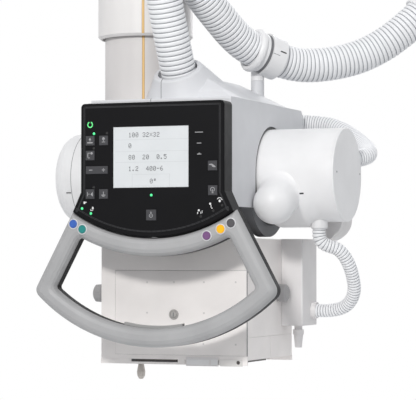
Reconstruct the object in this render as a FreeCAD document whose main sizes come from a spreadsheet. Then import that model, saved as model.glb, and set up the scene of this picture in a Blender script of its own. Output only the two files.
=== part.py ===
import FreeCAD, Part
import math
import os
import Sketcher

# Ceiling-suspended X-ray tube head: telescopic column, swivelling arm with its control console
# and handle, tilting tube unit and swivelling collimator. Millimetres, +X to the operator's right,
# +Y away from the operator, +Z up. The origin is the middle of the ceiling flange's top face.

doc = FreeCAD.newDocument("radiography_head")
dims = doc.addObject("Spreadsheet::Sheet", "dims")
nodes = []


class Size:
    """A number together with the sheet formula that drives it."""

    def __init__(self, value, formula):
        self.value = value
        self.formula = formula

    def __add__(self, other):
        return Size(self.value + number(other), f"({self.formula} + {formula(other)})")

    def __radd__(self, other):
        return Size(number(other) + self.value, f"({formula(other)} + {self.formula})")

    def __sub__(self, other):
        return Size(self.value - number(other), f"({self.formula} - {formula(other)})")

    def __rsub__(self, other):
        return Size(number(other) - self.value, f"({formula(other)} - {self.formula})")

    def __mul__(self, other):
        return Size(self.value * number(other), f"({self.formula} * {formula(other)})")

    def __rmul__(self, other):
        return Size(number(other) * self.value, f"({formula(other)} * {self.formula})")

    def __truediv__(self, other):
        return Size(self.value / number(other), f"({self.formula} / {formula(other)})")

    def __neg__(self):
        return Size(-self.value, f"(0 - {self.formula})")


def number(size):
    return size.value if isinstance(size, Size) else float(size)


def formula(size):
    return size.formula if isinstance(size, Size) else repr(float(size))


def sine(angle):
    return Size(math.sin(math.radians(number(angle))), f"sin({formula(angle)})")


def cosine(angle):
    return Size(math.cos(math.radians(number(angle))), f"cos({formula(angle)})")


def cell(alias, value, meaning):
    """One driving dimension: a row of the sheet with its meaning, its number and its alias."""
    row = cell.row = getattr(cell, "row", 0) + 1
    dims.set(f"A{row}", meaning)
    dims.set(f"B{row}", str(value))
    dims.setAlias(f"B{row}", alias)
    return Size(float(value), f"dims.{alias}")


# Driving dimensions

run_gap = cell("run_gap", 0.05, "radial running fit")
seat_gap = cell("seat_gap", 0.3, "clearance between seated neighbours")
drop = cell("drop", 650, "ceiling flange to tube axis, arm at rest")
side_reach = cell("side_reach", 110, "column axis to the head's middle plane")
back_reach = cell("back_reach", 48, "column axis to tube axis, backwards")
face_reach = cell("face_reach", 278, "console front to tube axis")

flange_radius = cell("flange_radius", 150, "ceiling flange radius")
flange_thick = cell("flange_thick", 14, "ceiling flange thickness")
bolt_circle = cell("bolt_circle", 250, "ceiling bolt circle diameter")
bolt_bore = cell("bolt_bore", 13, "ceiling bolt hole diameter")
hub_wall = cell("hub_wall", 14, "flange hub wall")
hub_height = cell("hub_height", 46, "flange hub height below the plate")

outer_radius = cell("outer_radius", 96, "outer column radius")
column_wall = cell("column_wall", 8, "wall of both column tubes")
outer_length = cell("outer_length", 358, "outer column length")
inner_radius = cell("inner_radius", 82, "inner column radius")
inner_head = cell("inner_head", 60, "ceiling to the inner column's top")
guide_height = cell("guide_height", 40, "height of each sliding guide")
guide_inset = cell("guide_inset", 6, "guide ring above the outer column's mouth")
lip_chamfer = cell("lip_chamfer", 5, "chamfer of the outer column's mouth")
stripe_width = cell("stripe_width", 5.4, "width of the light strip's groove")
stripe_depth = cell("stripe_depth", 1.6, "depth of the light strip's groove")
stripe_turn = cell("stripe_turn", 20, "light strip's angle from the front, in degrees")

beam_underside = cell("beam_underside", 100, "tube axis to the arm beam's underside")
beam_thick = cell("beam_thick", 12, "arm beam plate thickness")
beam_half = cell("beam_half", 136, "arm beam half width")
beam_front = cell("beam_front", 60, "console front to the beam's front end")
beam_rear = cell("beam_rear", 434, "console front to the beam's rear end")
race_wall = cell("race_wall", 11, "swivel race wall")
race_height = cell("race_height", 28, "swivel race height")
roller_radius = cell("roller_radius", 4.5, "swivel roller radius")
roller_count = cell("roller_count", 16, "number of swivel rollers")
turret_wall = cell("turret_wall", 6, "turret cup wall")
turret_floor = cell("turret_floor", 4, "turret cup floor")
cheek_outer = cell("cheek_outer", 122, "trunnion cheek ring outer radius")
cheek_near = cell("cheek_near", 118, "middle plane to the cheek's inner face")
cheek_thick = cell("cheek_thick", 20, "cheek ring thickness")

arm_half = cell("arm_half", 146, "arm cover half width")
arm_front = cell("arm_front", 44.3, "console front to the arm cover's front")
arm_rear = cell("arm_rear", 465, "console front to the arm cover's rear")
arm_top = cell("arm_top", 143, "tube axis to the side wall's top edge")
arm_foot = cell("arm_foot", 66, "tube axis to the front box's bottom")
arm_wall = cell("arm_wall", 5, "arm cover wall")
arm_cut = cell("arm_cut", 99, "radius of the cut-out round the tube")
ridge_height = cell("ridge_height", 189, "tube axis to the roof ridge")
ridge_right = cell("ridge_right", 60, "middle plane to the ridge's right edge")
ridge_left = cell("ridge_left", 16, "middle plane to the ridge's left edge")
roof_left = cell("roof_left", 38, "middle plane to the roof's left foot")
roof_front = cell("roof_front", 112, "console front to the roof's front foot")
roof_rear = cell("roof_rear", 372, "console front to the roof's rear foot")
collar_depth = cell("collar_depth", 133, "console front to the hose collar's rim")
collar_height = cell("collar_height", 205, "tube axis to the hose collar's rim")
collar_lean_front = cell("collar_lean_front", 32, "collar's lean to the front, in degrees")
collar_lean_left = cell("collar_lean_left", 4, "collar's lean to the left, in degrees")
collar_rim = cell("collar_rim", 48, "collar rim radius")
collar_base = cell("collar_base", 96, "collar base radius")
post_radius = cell("post_radius", 13.5, "hose post radius")
post_side = cell("post_side", 90, "middle plane to the hose post")
post_depth = cell("post_depth", 345, "console front to the hose post")
post_height = cell("post_height", 198, "tube axis to the post's top")
collar_lip = cell("collar_lip", 6, "rounding of the collar's rim")
collar_gap = cell("collar_gap", 5, "open gap between the hose and the collar's mouth")
collar_mouth = cell("collar_mouth", 14, "depth of the collar's mouth")
clamp_radius = cell("clamp_radius", 44, "hose clamp outer radius")
clamp_width = cell("clamp_width", 34, "hose clamp width along the hose")

service_hose = cell("service_hose", 70, "service hose diameter")
supply_hose = cell("supply_hose", 37, "tube supply hose diameter")
lead_hose = cell("lead_hose", 27, "collimator hose diameter")

console_half = cell("console_half", 148, "console half width")
console_flare = cell("console_flare", 166, "half width at the console's flared corners")
console_top = cell("console_top", 133, "tube axis to the console's top")
console_thick = cell("console_thick", 44, "console thickness")
flare_start = cell("flare_start", 38, "tube axis down to where the console flares")
flare_end = cell("flare_end", 77, "tube axis down to the flared corners")
face_thick = cell("face_thick", 6, "console face plate thickness")
console_shell_wall = cell("console_shell_wall", 4, "console rear shell wall")
console_arc = cell("console_arc", 301, "radius of the console's bottom edge")
console_arc_rise = cell("console_arc_rise", 176, "tube axis up to that arc's centre")
display_left = cell("display_left", 80, "middle plane to the display's left edge")
display_right = cell("display_right", 77, "middle plane to the display's right edge")
display_top = cell("display_top", 87, "tube axis to the display's top")
display_foot = cell("display_foot", 31, "tube axis down to the display's bottom")
display_thick = cell("display_thick", 3, "display window thickness")
key_side = cell("key_side", 18.6, "square key side")
key_long = cell("key_long", 46, "rocker key length")
key_low = cell("key_low", 15, "rocker key height")
key_stand = cell("key_stand", 1.6, "key height above the face")
key_gap = cell("key_gap", 0.35, "gap round each key")

bar_width = cell("bar_width", 36, "handle bar width")
handle_gap = cell("handle_gap", 0.5, "gap between console and handle")
handle_half = cell("handle_half", 171, "handle half width at its top corners")
handle_flare = cell("handle_flare", 0.536, "sideways run of the handle's side per fall")
grip_arc = cell("grip_arc", 353, "radius of the lower grip's lower edge")
grip_arc_rise = cell("grip_arc_rise", 18, "tube axis up to that arc's centre")
handle_front = cell("handle_front", 18, "depth of the handle's front shell")
handle_depth = cell("handle_depth", 42, "depth of the whole handle")
handle_outer_corner = cell("handle_outer_corner", 18, "rounding of the handle's lower corners")
handle_inner_corner = cell("handle_inner_corner", 7, "rounding of the corners of its opening")
handle_bevel = cell("handle_bevel", 9, "bevel of the handle's front edges")
button_radius = cell("button_radius", 8, "round button radius")
button_stand = cell("button_stand", 2.4, "round button height above the handle")
release_half = cell("release_half", 60, "half length of the release bar")
release_side = cell("release_side", -5, "middle plane to the release bar's middle")
release_show = cell("release_show", 5, "release bar's height above the grip")
release_travel = cell("release_travel", 6, "travel of the release bar")

tube_radius = cell("tube_radius", 93, "tube cover radius")
tube_half = cell("tube_half", 303, "tube unit half length")
tube_wall = cell("tube_wall", 4, "tube cover wall")
cover_start = cell("cover_start", 139.5, "middle plane to the tube covers' inner ends")
cap_length = cell("cap_length", 47, "left cap length")
cap_seam = tube_half - cap_length
cap_round = cell("cap_round", 34, "rounding of the left cap")
housing_radius = cell("housing_radius", 80, "lead-lined housing radius")
housing_wall = cell("housing_wall", 6, "housing wall")
housing_clear = cell("housing_clear", 67, "tube unit's end to the housing's end")
housing_half = tube_half - housing_clear
journal_radius = cell("journal_radius", 88, "trunnion journal radius")
carrier_inset = cell("carrier_inset", 40, "housing's end to the cover carrier rings")
carrier_place = housing_half - carrier_inset
carrier_width = cell("carrier_width", 10, "cover carrier ring width")
neck_radius = cell("neck_radius", 46, "beam port neck radius")
neck_bore = cell("neck_bore", 36, "beam port bore radius")
shoulder_radius = cell("shoulder_radius", 60, "beam port shoulder radius")
dome_radius = cell("dome_radius", 41, "dome boss radius")
dome_side = cell("dome_side", 191, "middle plane to the dome's centre")
dome_front = cell("dome_front", 114, "tube axis to the dome's centre, forwards")
dome_drop = cell("dome_drop", 51, "tube axis down to the dome's centre")
skirt_foot = cell("skirt_foot", 121, "tube axis down to the skirt's lowest edge")
lobe_width = cell("lobe_width", 63, "rear lobe width")
lobe_near = tube_half - lobe_width
lobe_front = cell("lobe_front", 24, "tube axis back to the rear lobe's front")
lobe_foot = cell("lobe_foot", 135, "tube axis down to the rear lobe's bottom")
lobe_round = cell("lobe_round", 42, "rounding of the rear lobe's outer corner")
envelope_bulb = cell("envelope_bulb", 46, "glass envelope bulb radius")
envelope_neck = cell("envelope_neck", 22, "glass envelope neck radius")
anode_radius = cell("anode_radius", 34, "anode disc radius")
rotor_radius = cell("rotor_radius", 14, "anode rotor radius")

box_half = cell("box_half", 154, "collimator half width")
box_front = cell("box_front", 168, "beam axis to the collimator's front")
box_back = cell("box_back", 96, "beam axis to the collimator's back")
box_top = cell("box_top", 126, "tube axis down to the collimator's top")
lid_thick = cell("lid_thick", 9, "collimator lid thickness")
box_seam = cell("box_seam", 318, "tube axis down to the seam of its base")
box_foot = cell("box_foot", 362, "tube axis down to its underside")
box_wall = cell("box_wall", 4, "collimator wall")
door_left = cell("door_left", 123, "beam axis to the door's left edge")
door_top = cell("door_top", 188.5, "tube axis down to the door's top")
door_foot = cell("door_foot", 353, "tube axis down to the door's bottom")
door_thick = cell("door_thick", 3, "door plate thickness")
side_box_width = cell("side_box_width", 45, "side box width")
side_box_front = cell("side_box_front", 30, "beam axis back to the side box's front")
side_box_back = cell("side_box_back", 121, "beam axis back to the side box's back")
side_box_foot = cell("side_box_foot", 300, "tube axis down to the side box's bottom")
knob_radius = cell("knob_radius", 18, "collimator knob radius")
knob_drop = cell("knob_drop", 234, "tube axis down to the knobs")
left_knob_front = cell("left_knob_front", 148, "beam axis forward to the left knob")
right_knob_back = cell("right_knob_back", 9, "beam axis back to the right knob")
leaf_thick = cell("leaf_thick", 6, "lead leaf thickness")
leaf_long = cell("leaf_long", 110, "lead leaf length across its travel")
leaf_wide = cell("leaf_wide", 56, "lead leaf length along its travel")
leaf_open = cell("leaf_open", 36, "beam axis to an open leaf's edge")
shelf_drop = cell("shelf_drop", 200, "tube axis down to the leaf shelf")
shelf_thick = cell("shelf_thick", 4, "leaf shelf thickness")
window_half = cell("window_half", 44, "half side of the beam window")
lever_thick = cell("lever_thick", 4, "filter lever thickness")
lever_reach = cell("lever_reach", 84, "filter lever length")
drop_knob_length = cell("drop_knob_length", 42, "height of the drop knob below the collimator")
drop_knob_foot = box_foot + drop_knob_length

doc.recompute()

# Derived places: the head's middle plane, the tube axis and the console's front

head_x = side_reach
tube_y = back_reach
tube_z = -drop
front_y = back_reach - face_reach
outer_bore = outer_radius - column_wall


def across(offset):
    """X at an offset to the right of the head's middle plane."""
    return head_x + offset


def behind(offset):
    """Y at an offset behind the console's front."""
    return front_y + offset


def above(offset):
    """Z at an offset above the tube axis."""
    return tube_z + offset


# Modelling helpers

ALONG = {
    "x": FreeCAD.Rotation(FreeCAD.Vector(0, 1, 0), 90),
    "y": FreeCAD.Rotation(FreeCAD.Vector(1, 0, 0), -90),
    "z": FreeCAD.Rotation(),
}


def bind(thing, **sizes):
    for name, size in sizes.items():
        thing.setExpression(name, formula(size))


def put(thing, x, y, z, rotation=None):
    """Places a solid: its rotation as it stands, its place bound to the sheet."""
    if rotation:
        thing.Placement = FreeCAD.Placement(FreeCAD.Vector(), rotation)
    for axis, size in (("x", x), ("y", y), ("z", z)):
        thing.setExpression(f"Placement.Base.{axis}", formula(size))
    return thing


def point_on(axis, along, centre):
    first, second = centre
    return {"x": (along, first, second), "y": (first, along, second), "z": (first, second, along)}[axis]


def block(name, x, y, z):
    """A box from the low and high limits on each axis."""
    box = doc.addObject("Part::Box", name)
    bind(box, Length=x[1] - x[0], Width=y[1] - y[0], Height=z[1] - z[0])
    return put(box, x[0], y[0], z[0])


def rod(name, axis, radius, start, end, centre):
    """A cylinder along an axis; its centre gives the other two coordinates."""
    cylinder = doc.addObject("Part::Cylinder", name)
    bind(cylinder, Radius=radius, Height=end - start)
    return put(cylinder, *point_on(axis, start, centre), ALONG[axis])


def ball(name, radius, x, y, z):
    sphere = doc.addObject("Part::Sphere", name)
    bind(sphere, Radius=radius)
    return put(sphere, x, y, z)


def less(name, base, *tools):
    """A solid with others cut away from it, one after the other."""
    for tool in tools:
        cut = doc.addObject("Part::Cut", name if tool is tools[-1] else f"{name}_less_{tool.Name}")
        cut.Base = base
        cut.Tool = tool
        cut.Refine = True
        base = cut
    return base


def joined(name, *pieces):
    fuse = doc.addObject("Part::MultiFuse", name)
    fuse.Shapes = list(pieces)
    fuse.Refine = True
    return fuse


def shared(name, *pieces):
    """The volume that solids have in common."""
    common = doc.addObject("Part::MultiCommon", name)
    common.Shapes = list(pieces)
    common.Refine = True
    return common


def ring(name, axis, outer, inner, start, end, centre):
    return less(name, rod(name + "_body", axis, outer, start, end, centre),
                rod(name + "_bore", axis, inner, start - 1, end + 1, centre))


def group(name, *pieces):
    """Separate solids that share one node."""
    compound = doc.addObject("Part::Compound", name)
    compound.Links = list(pieces)
    return compound


def sketch_on(body, name, plane, corners, offset):
    """A closed outline on one of the body's own planes, each corner dimensioned from the origin."""
    sketch = body.newObject("Sketcher::SketchObject", name)
    support = [feature for feature in body.Origin.OriginFeatures if feature.Role == plane][0]
    sketch.AttachmentSupport = [(support, "")]
    sketch.MapMode = "FlatFace"
    sketch.setExpression("AttachmentOffset.Base.z", formula(offset))
    flat = [FreeCAD.Vector(number(u), number(v), 0) for u, v in corners]
    count = len(flat)
    for i in range(count):
        sketch.addGeometry(Part.LineSegment(flat[i], flat[(i + 1) % count]), False)
    for i in range(count):
        sketch.addConstraint(Sketcher.Constraint("Coincident", i, 2, (i + 1) % count, 1))
    for i, (u, v) in enumerate(corners):
        for kind, size in (("DistanceX", u), ("DistanceY", v)):
            index = sketch.addConstraint(Sketcher.Constraint(kind, -1, 1, i, 1, number(size)))
            sketch.setExpression(f"Constraints[{index}]", formula(size))
    return sketch


def prism(name, plane, corners, start, end):
    """A body padded from an outline between two limits along the plane's axis."""
    body = doc.addObject("PartDesign::Body", name)
    facing_back = plane == "XZ_Plane"
    sketch = sketch_on(body, name + "_outline", plane, corners, -end if facing_back else start)
    pad = body.newObject("PartDesign::Pad", name + "_pad")
    pad.Profile = sketch
    pad.setExpression("Length", formula(end - start))
    body.Tip = pad
    return body


def turned(name, axis, profile, start, centre):
    """A body turned about an axis from a profile of (radius, distance along the axis)."""
    body = doc.addObject("PartDesign::Body", name)
    sketch = sketch_on(body, name + "_profile", "XZ_Plane", profile, 0)
    turn = body.newObject("PartDesign::Revolution", name + "_turn")
    turn.Profile = sketch
    turn.ReferenceAxis = (sketch, ["V_Axis"])
    turn.Angle = 360
    body.Tip = turn
    put(body, *point_on(axis, start, centre), ALONG[axis])
    return body


def round_edges(body, radius, picks):
    """A fillet on the body's edges that pick accepts, in the body's own coordinates."""
    doc.recompute()
    solid = body.Tip
    names = [f"Edge{i + 1}" for i, edge in enumerate(solid.Shape.Edges) if picks(edge)]
    fillet = body.newObject("PartDesign::Fillet", body.Name + "_round")
    fillet.Base = (solid, names)
    fillet.setExpression("Radius", formula(radius))
    body.Tip = fillet
    return body


def soften(name, base, radius, picks, kind="Part::Fillet"):
    """A fillet or a bevel on the edges of a built-up solid that picks accepts."""
    doc.recompute()
    fillet = doc.addObject(kind, name)
    fillet.Base = base
    fillet.Edges = [(i + 1, number(radius), number(radius))
                    for i, edge in enumerate(base.Shape.Edges) if picks(edge)]
    return fillet


def runs_along(axis):
    """Picks straight edges parallel to an axis."""
    index = "xyz".index(axis)

    def picks(edge):
        first, last = edge.Vertexes[0].Point, edge.Vertexes[-1].Point
        span = last - first
        return span.Length > 1e-6 and abs(abs(span[index]) - span.Length) < 1e-6
    return picks


def at_level(axis, size):
    """Picks edges that lie wholly at one coordinate."""
    index = "xyz".index(axis)

    def picks(edge):
        box = edge.BoundBox
        low = (box.XMin, box.YMin, box.ZMin)[index]
        high = (box.XMax, box.YMax, box.ZMax)[index]
        return abs(low - number(size)) < 1e-3 and abs(high - number(size)) < 1e-3
    return picks


def keep(thing, name):
    """Names a finished sub-part and lists it for writing."""
    thing.Label = name
    nodes.append(thing)
    return thing


# Ceiling flange, outer column and its guide ring

column_top = -flange_thick
column_mouth = -flange_thick - outer_length
hub_radius = outer_radius + hub_wall

plate = turned("flange_plate", "z", [
    (outer_radius - column_wall - 8, 0), (flange_radius, 0), (flange_radius, flange_thick - 2),
    (flange_radius - 2, flange_thick), (outer_radius - column_wall - 8, flange_thick)],
    column_top, (0, 0))
hub = ring("flange_hub", "z", hub_radius, outer_radius + run_gap,
           column_top - hub_height, column_top, (0, 0))
bolt_holes = []
for turn in range(0, 360, 60):
    bolt_holes.append(rod("bolt_hole", "z", bolt_bore / 2, column_top - 1, 1,
                          (bolt_circle / 2 * cosine(turn), bolt_circle / 2 * sine(turn))))
keep(less("flange", joined("flange_casting", plate, hub), *bolt_holes), "ceiling_flange")


def stripe_groove(radius, low, high):
    """The cutter of a light strip's groove in a column tube."""
    cutter = doc.addObject("Part::Box", "stripe_groove")
    bind(cutter, Length=stripe_depth * 2, Width=stripe_width, Height=high - low)
    turn = number(stripe_turn) - 90
    cutter.Placement.Rotation = FreeCAD.Rotation(FreeCAD.Vector(0, 0, 1), turn)
    near = radius - stripe_depth
    side = stripe_width / 2
    return put(cutter, near * sine(stripe_turn) - side * cosine(stripe_turn),
               -near * cosine(stripe_turn) - side * sine(stripe_turn), low,
               FreeCAD.Rotation(FreeCAD.Vector(0, 0, 1), turn))


outer_tube = turned("outer_tube", "z", [
    (outer_bore, 0), (outer_radius - lip_chamfer, 0), (outer_radius, lip_chamfer),
    (outer_radius, outer_length), (outer_bore, outer_length)], column_mouth, (0, 0))
keep(less("outer_column_body", outer_tube,
          stripe_groove(outer_radius, column_mouth - 1, column_top - hub_height - seat_gap)),
     "outer_column")
guide_low = column_mouth + guide_inset
keep(ring("guide", "z", outer_bore - run_gap, inner_radius + run_gap, guide_low,
          guide_low + guide_height, (0, 0)), "lower_guide_ring")

# Inner column with its swaged guide head and the swivel bearing's inner race

turret_low = above(beam_underside)
column_foot = turret_low + turret_floor + seat_gap * 2
inner_length = -inner_head - column_foot
inner_bore = inner_radius - column_wall
head_radius = outer_bore - run_gap * 2
inner_tube = turned("inner_tube", "z", [
    (inner_bore, 0), (inner_radius, 0), (inner_radius, inner_length - guide_height),
    (head_radius, inner_length - guide_height + (head_radius - inner_radius)),
    (head_radius, inner_length), (inner_bore, inner_length)], column_foot, (0, 0))
race_low = turret_low + turret_floor + seat_gap
race_high = race_low + race_height
keep(less("inner_column_body", inner_tube,
          stripe_groove(inner_radius, race_high + 8, -inner_head - guide_height - 8)),
     "inner_column")
inner_race = inner_radius + race_wall
keep(turned("inner_race", "z", [
    (inner_radius + run_gap, seat_gap), (inner_race, seat_gap), (inner_race, race_height),
    (inner_race - 2, race_height + 2), (inner_radius + run_gap, race_height + 2)],
    race_low, (0, 0)), "swivel_inner_race")

# Outer race with its rollers: the lower lip carries them

roller_path = inner_race + roller_radius + 0.1
outer_race = roller_path + roller_radius + 0.1
race_shell = turned("outer_race_shell", "z", [
    (inner_race + 1, 0), (outer_race + race_wall, 0), (outer_race + race_wall, race_height),
    (outer_race, race_height), (outer_race, 5), (inner_race + 1, 5)], race_low, (0, 0))
rollers = []
for index in range(int(number(roller_count))):
    turn = 360 / number(roller_count) * index
    rollers.append(rod("roller", "z", roller_radius, race_low + 5.2, race_low + race_height - 3,
                       (roller_path * cosine(turn), roller_path * sine(turn))))
keep(group("outer_race", race_shell, *rollers), "swivel_outer_race")

# Arm beam: turret cup, plate and the two trunnion cheeks in one casting

cup_bore = outer_race + race_wall + run_gap
cup_radius = cup_bore + turret_wall
cup_high = race_high + 2
beam_high = turret_low + beam_thick
tube_axis = (tube_y, tube_z)
cup = rod("turret_cup", "z", cup_radius, turret_low, cup_high, (0, 0))
cup_void = rod("turret_void", "z", cup_bore, race_low - seat_gap, cup_high + 60, (0, 0))
floor_hole = rod("floor_hole", "z", inner_bore, turret_low - 1, beam_high, (0, 0))
beam_plate = block("beam_plate", (across(-beam_half), across(beam_half)),
                   (behind(beam_front), behind(beam_rear)), (turret_low, beam_high))
beam_plate_window = rod("beam_window", "z", 46, turret_low - 1, beam_high + 1,
                        (across(70), behind(beam_front + 60)))
ribs = [block("beam_rib", (across(side - 4), across(side + 4)),
              (behind(beam_front), behind(beam_rear)), (beam_high - 1, beam_high + 16))
        for side in (40, 100)]
cheeks = []
for low in (cheek_near, -cheek_near - cheek_thick):
    cheeks.append(rod("cheek", "x", cheek_outer, across(low), across(low + cheek_thick), tube_axis))
casting = joined("beam_casting", beam_plate, cup, *ribs, *cheeks)
bore = rod("journal_bore", "x", journal_radius + run_gap * 2, across(-cheek_near - cheek_thick - 1),
           across(cheek_near + cheek_thick + 1), tube_axis)
keep(less("beam", casting, cup_void, floor_hole, beam_plate_window, bore), "arm_beam")

# Arm covers: a roofed shell split lengthwise, with the hose collar, the turret and the hose post

split = ridge_left + 4


def side_outline(grow, foot):
    """The arm's side view: front box, overhead beam and the notched rear end."""
    return [(behind(arm_front + grow), above(-foot)), (behind(face_reach - arm_cut), above(-foot)),
            (behind(face_reach - arm_cut), above(beam_underside - 4)),
            (behind(arm_rear - grow), above(beam_underside - 4)),
            (behind(arm_rear - grow), above(arm_top - grow - 9)),
            (behind(arm_rear - grow - 8), above(arm_top - grow)),
            (behind(arm_front + grow), above(arm_top - grow))]


def roof_solid(name, grow):
    """The roof's wedge, shrunk by the wall for its inside."""
    low = above(arm_top - 20)
    section = prism(name + "_section", "XZ_Plane", [
        (across(arm_half - grow), low), (across(arm_half - grow), above(arm_top - grow)),
        (across(ridge_right - grow / 2), above(ridge_height - grow)),
        (across(grow - ridge_left), above(ridge_height - grow)),
        (across(grow - roof_left), above(arm_top - grow)), (across(grow - roof_left), low)],
        behind(roof_front + grow), behind(roof_rear - grow))
    length = prism(name + "_length", "YZ_Plane", [
        (behind(roof_front + grow), low), (behind(roof_rear - grow), low),
        (behind(roof_rear - grow), above(arm_top)),
        (behind(post_depth - post_radius - 10 - grow), above(ridge_height)),
        (behind(roof_front + 26 + grow), above(ridge_height)),
        (behind(roof_front + grow), above(arm_top + 18))],
        across(-arm_half), across(arm_half))
    return shared(name, section, length)


shell_outside = prism("arm_outside", "YZ_Plane", side_outline(0, arm_foot),
                      across(-arm_half), across(arm_half))
shell_outside = round_edges(shell_outside, arm_wall - 1, lambda edge: (
    runs_along("x")(edge) and edge.BoundBox.ZMin > number(above(arm_top - 12))))
shell_inside = prism("arm_inside", "YZ_Plane", side_outline(arm_wall, arm_foot + 10),
                     across(-arm_half + arm_wall), across(arm_half - arm_wall))
turret_top = above(arm_top + 2)
turret = rod("turret_cover", "z", cup_radius + seat_gap + arm_wall, above(beam_underside - 4),
             turret_top, (0, 0))
turret_inside = rod("turret_inside", "z", cup_radius + seat_gap, above(beam_underside - 5),
                    turret_top - arm_wall + 1.5, (0, 0))

lean_x = -sine(collar_lean_left) / cosine(collar_lean_left)
lean_y = -sine(collar_lean_front) / cosine(collar_lean_front)
lean = FreeCAD.Vector(number(lean_x), number(lean_y), 1).normalize()
collar_turn = FreeCAD.Rotation(FreeCAD.Vector(0, 0, 1), lean)
collar_length = 80


def on_collar(distance):
    """A point on the collar's axis at a distance above its rim."""
    return (across(distance * lean.x), behind(collar_depth + distance * lean.y),
            above(collar_height + distance * lean.z))


collar = doc.addObject("Part::Cone", "hose_collar")
bind(collar, Radius1=collar_base, Radius2=collar_rim)
collar.Height = collar_length
put(collar, *on_collar(-collar_length), collar_turn)
collar = soften("collar_soft", collar, collar_lip, lambda edge: (
    edge.Curve.TypeId == "Part::GeomCircle" and edge.Length < number(collar_rim) * 7))
collar_void = doc.addObject("Part::Cylinder", "collar_void")
bind(collar_void, Radius=service_hose / 2 + collar_gap, Height=collar_mouth + 20)
put(collar_void, *on_collar(-number(collar_mouth)), collar_turn)
collar_hollow = doc.addObject("Part::Cone", "collar_hollow")
bind(collar_hollow, Radius1=collar_base - arm_wall - 2, Radius2=collar_rim + 1)
collar_hollow.Height = collar_length - number(collar_mouth)
put(collar_hollow, *on_collar(-collar_length), collar_turn)
seat_plate = doc.addObject("Part::Cylinder", "hose_seat_plate")
bind(seat_plate, Radius=collar_rim + 5)
seat_plate.Height = 8.5
put(seat_plate, *on_collar(-number(collar_mouth) - 8), collar_turn)
seat_bore = doc.addObject("Part::Cylinder", "hose_seat_bore")
bind(seat_bore, Radius=service_hose / 2 + seat_gap)
seat_bore.Height = 30
put(seat_bore, *on_collar(-number(collar_mouth) - 20), collar_turn)
hose_seat = less("hose_seat", seat_plate, seat_bore)
collar_trim = block("collar_trim", (across(-200), across(200)), (behind(-100), behind(400)),
                    (above(0), above(arm_top - arm_wall)))
collar_solid = less("collar_solid", collar, collar_trim)

post = rod("hose_post", "z", post_radius, above(arm_top - 2), above(post_height),
           (across(post_side), behind(post_depth)))
post_foot = doc.addObject("Part::Cone", "post_foot")
bind(post_foot, Radius1=post_radius + 9, Radius2=post_radius)
post_foot.Height = 26
put(post_foot, across(post_side), behind(post_depth), above(arm_top))

roof = soften("arm_roof", roof_solid("roof", 0), 7, lambda edge: (
    edge.BoundBox.ZMax > number(above(arm_top + 1))))
outside = joined("arm_cover_outside", shell_outside, turret, roof, collar_solid, post_foot, post)
column_hole = rod("column_hole", "z", inner_radius + 4, above(arm_top - 30), above(400), (0, 0))
tube_cut = rod("tube_cut", "x", arm_cut, across(-arm_half - 60), across(arm_half + 60), tube_axis)
supply_exit = doc.addObject("Part::Cylinder", "supply_exit")
bind(supply_exit, Radius=supply_hose / 2 + seat_gap)
supply_exit.Height = 60
put(supply_exit, across(96 - 1), behind(440 - 11.5), above(120 - 0.5),
    FreeCAD.Rotation(FreeCAD.Vector(0, 0, 1), FreeCAD.Vector(4, 46, 2)))
hollowed = less("arm_cover_hollowed", outside, supply_exit, shell_inside, turret_inside,
                roof_solid("roof_void", arm_wall), column_hole, collar_void, collar_hollow, tube_cut)
whole = joined("arm_cover_whole", hollowed, hose_seat)
for side, low, high in (("left", -300, -split), ("right", -split, 300)):
    half = block(f"{side}_half", (across(low), across(high)), (behind(0), behind(600)),
                 (above(-200), above(400)))
    keep(shared(f"arm_cover_{side}_body", whole, half), f"arm_cover_{side}")

# Hoses: straight runs joined by arcs that are as large as the runs allow


def vector(point):
    return FreeCAD.Vector(*(number(size) for size in point))


def hose(name, diameter, points):
    """A hose along straight runs joined by tangent arcs; prints its bend radii and its volume."""
    route = [vector(point) for point in points]
    edges = []
    radii = []
    start = route[0]
    for before, corner, after in zip(route, route[1:], route[2:]):
        shorter = min((corner - before).Length, (after - corner).Length)
        inward = (corner - before).normalize()
        outward = (after - corner).normalize()
        half_turn = inward.getAngle(outward) / 2
        reach = 0.45 * shorter
        radius = reach / math.tan(half_turn)
        first = corner - inward * reach
        last = corner + outward * reach
        to_centre = (outward - inward).normalize()
        middle = corner + to_centre * (radius / math.cos(half_turn) - radius)
        edges.append(Part.LineSegment(start, first).toShape())
        edges.append(Part.Arc(first, middle, last).toShape())
        radii.append(round(radius))
        start = last
    edges.append(Part.LineSegment(start, route[-1]).toShape())
    path = Part.Wire(edges)
    radius = number(diameter) / 2
    circle = Part.Wire(Part.Circle(route[0], route[1] - route[0], radius).toShape())
    shape = path.makePipe(Part.Face(circle))
    section = math.pi * radius ** 2
    print(f"{name}: length {path.Length:.1f}, radii {radii}, "
          f"volume ratio {shape.Volume / (section * path.Length):.4f}")
    tube = doc.addObject("Part::Feature", name + "_tube")
    tube.Shape = shape
    return keep(tube, name)


def head_point(right, back, up):
    """A point by its offsets from the middle plane, the console's front and the tube axis."""
    return (across(right), behind(back), above(up))


clamp_centre = head_point(110, 348, 250)
clamp_way = FreeCAD.Vector(0.62, 0.73, -0.28).normalize()


def on_clamp(distance):
    """A point on the clamp's axis, along the hose's way through it."""
    return tuple(size + distance * way for size, way in zip(clamp_centre, clamp_way))


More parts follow.
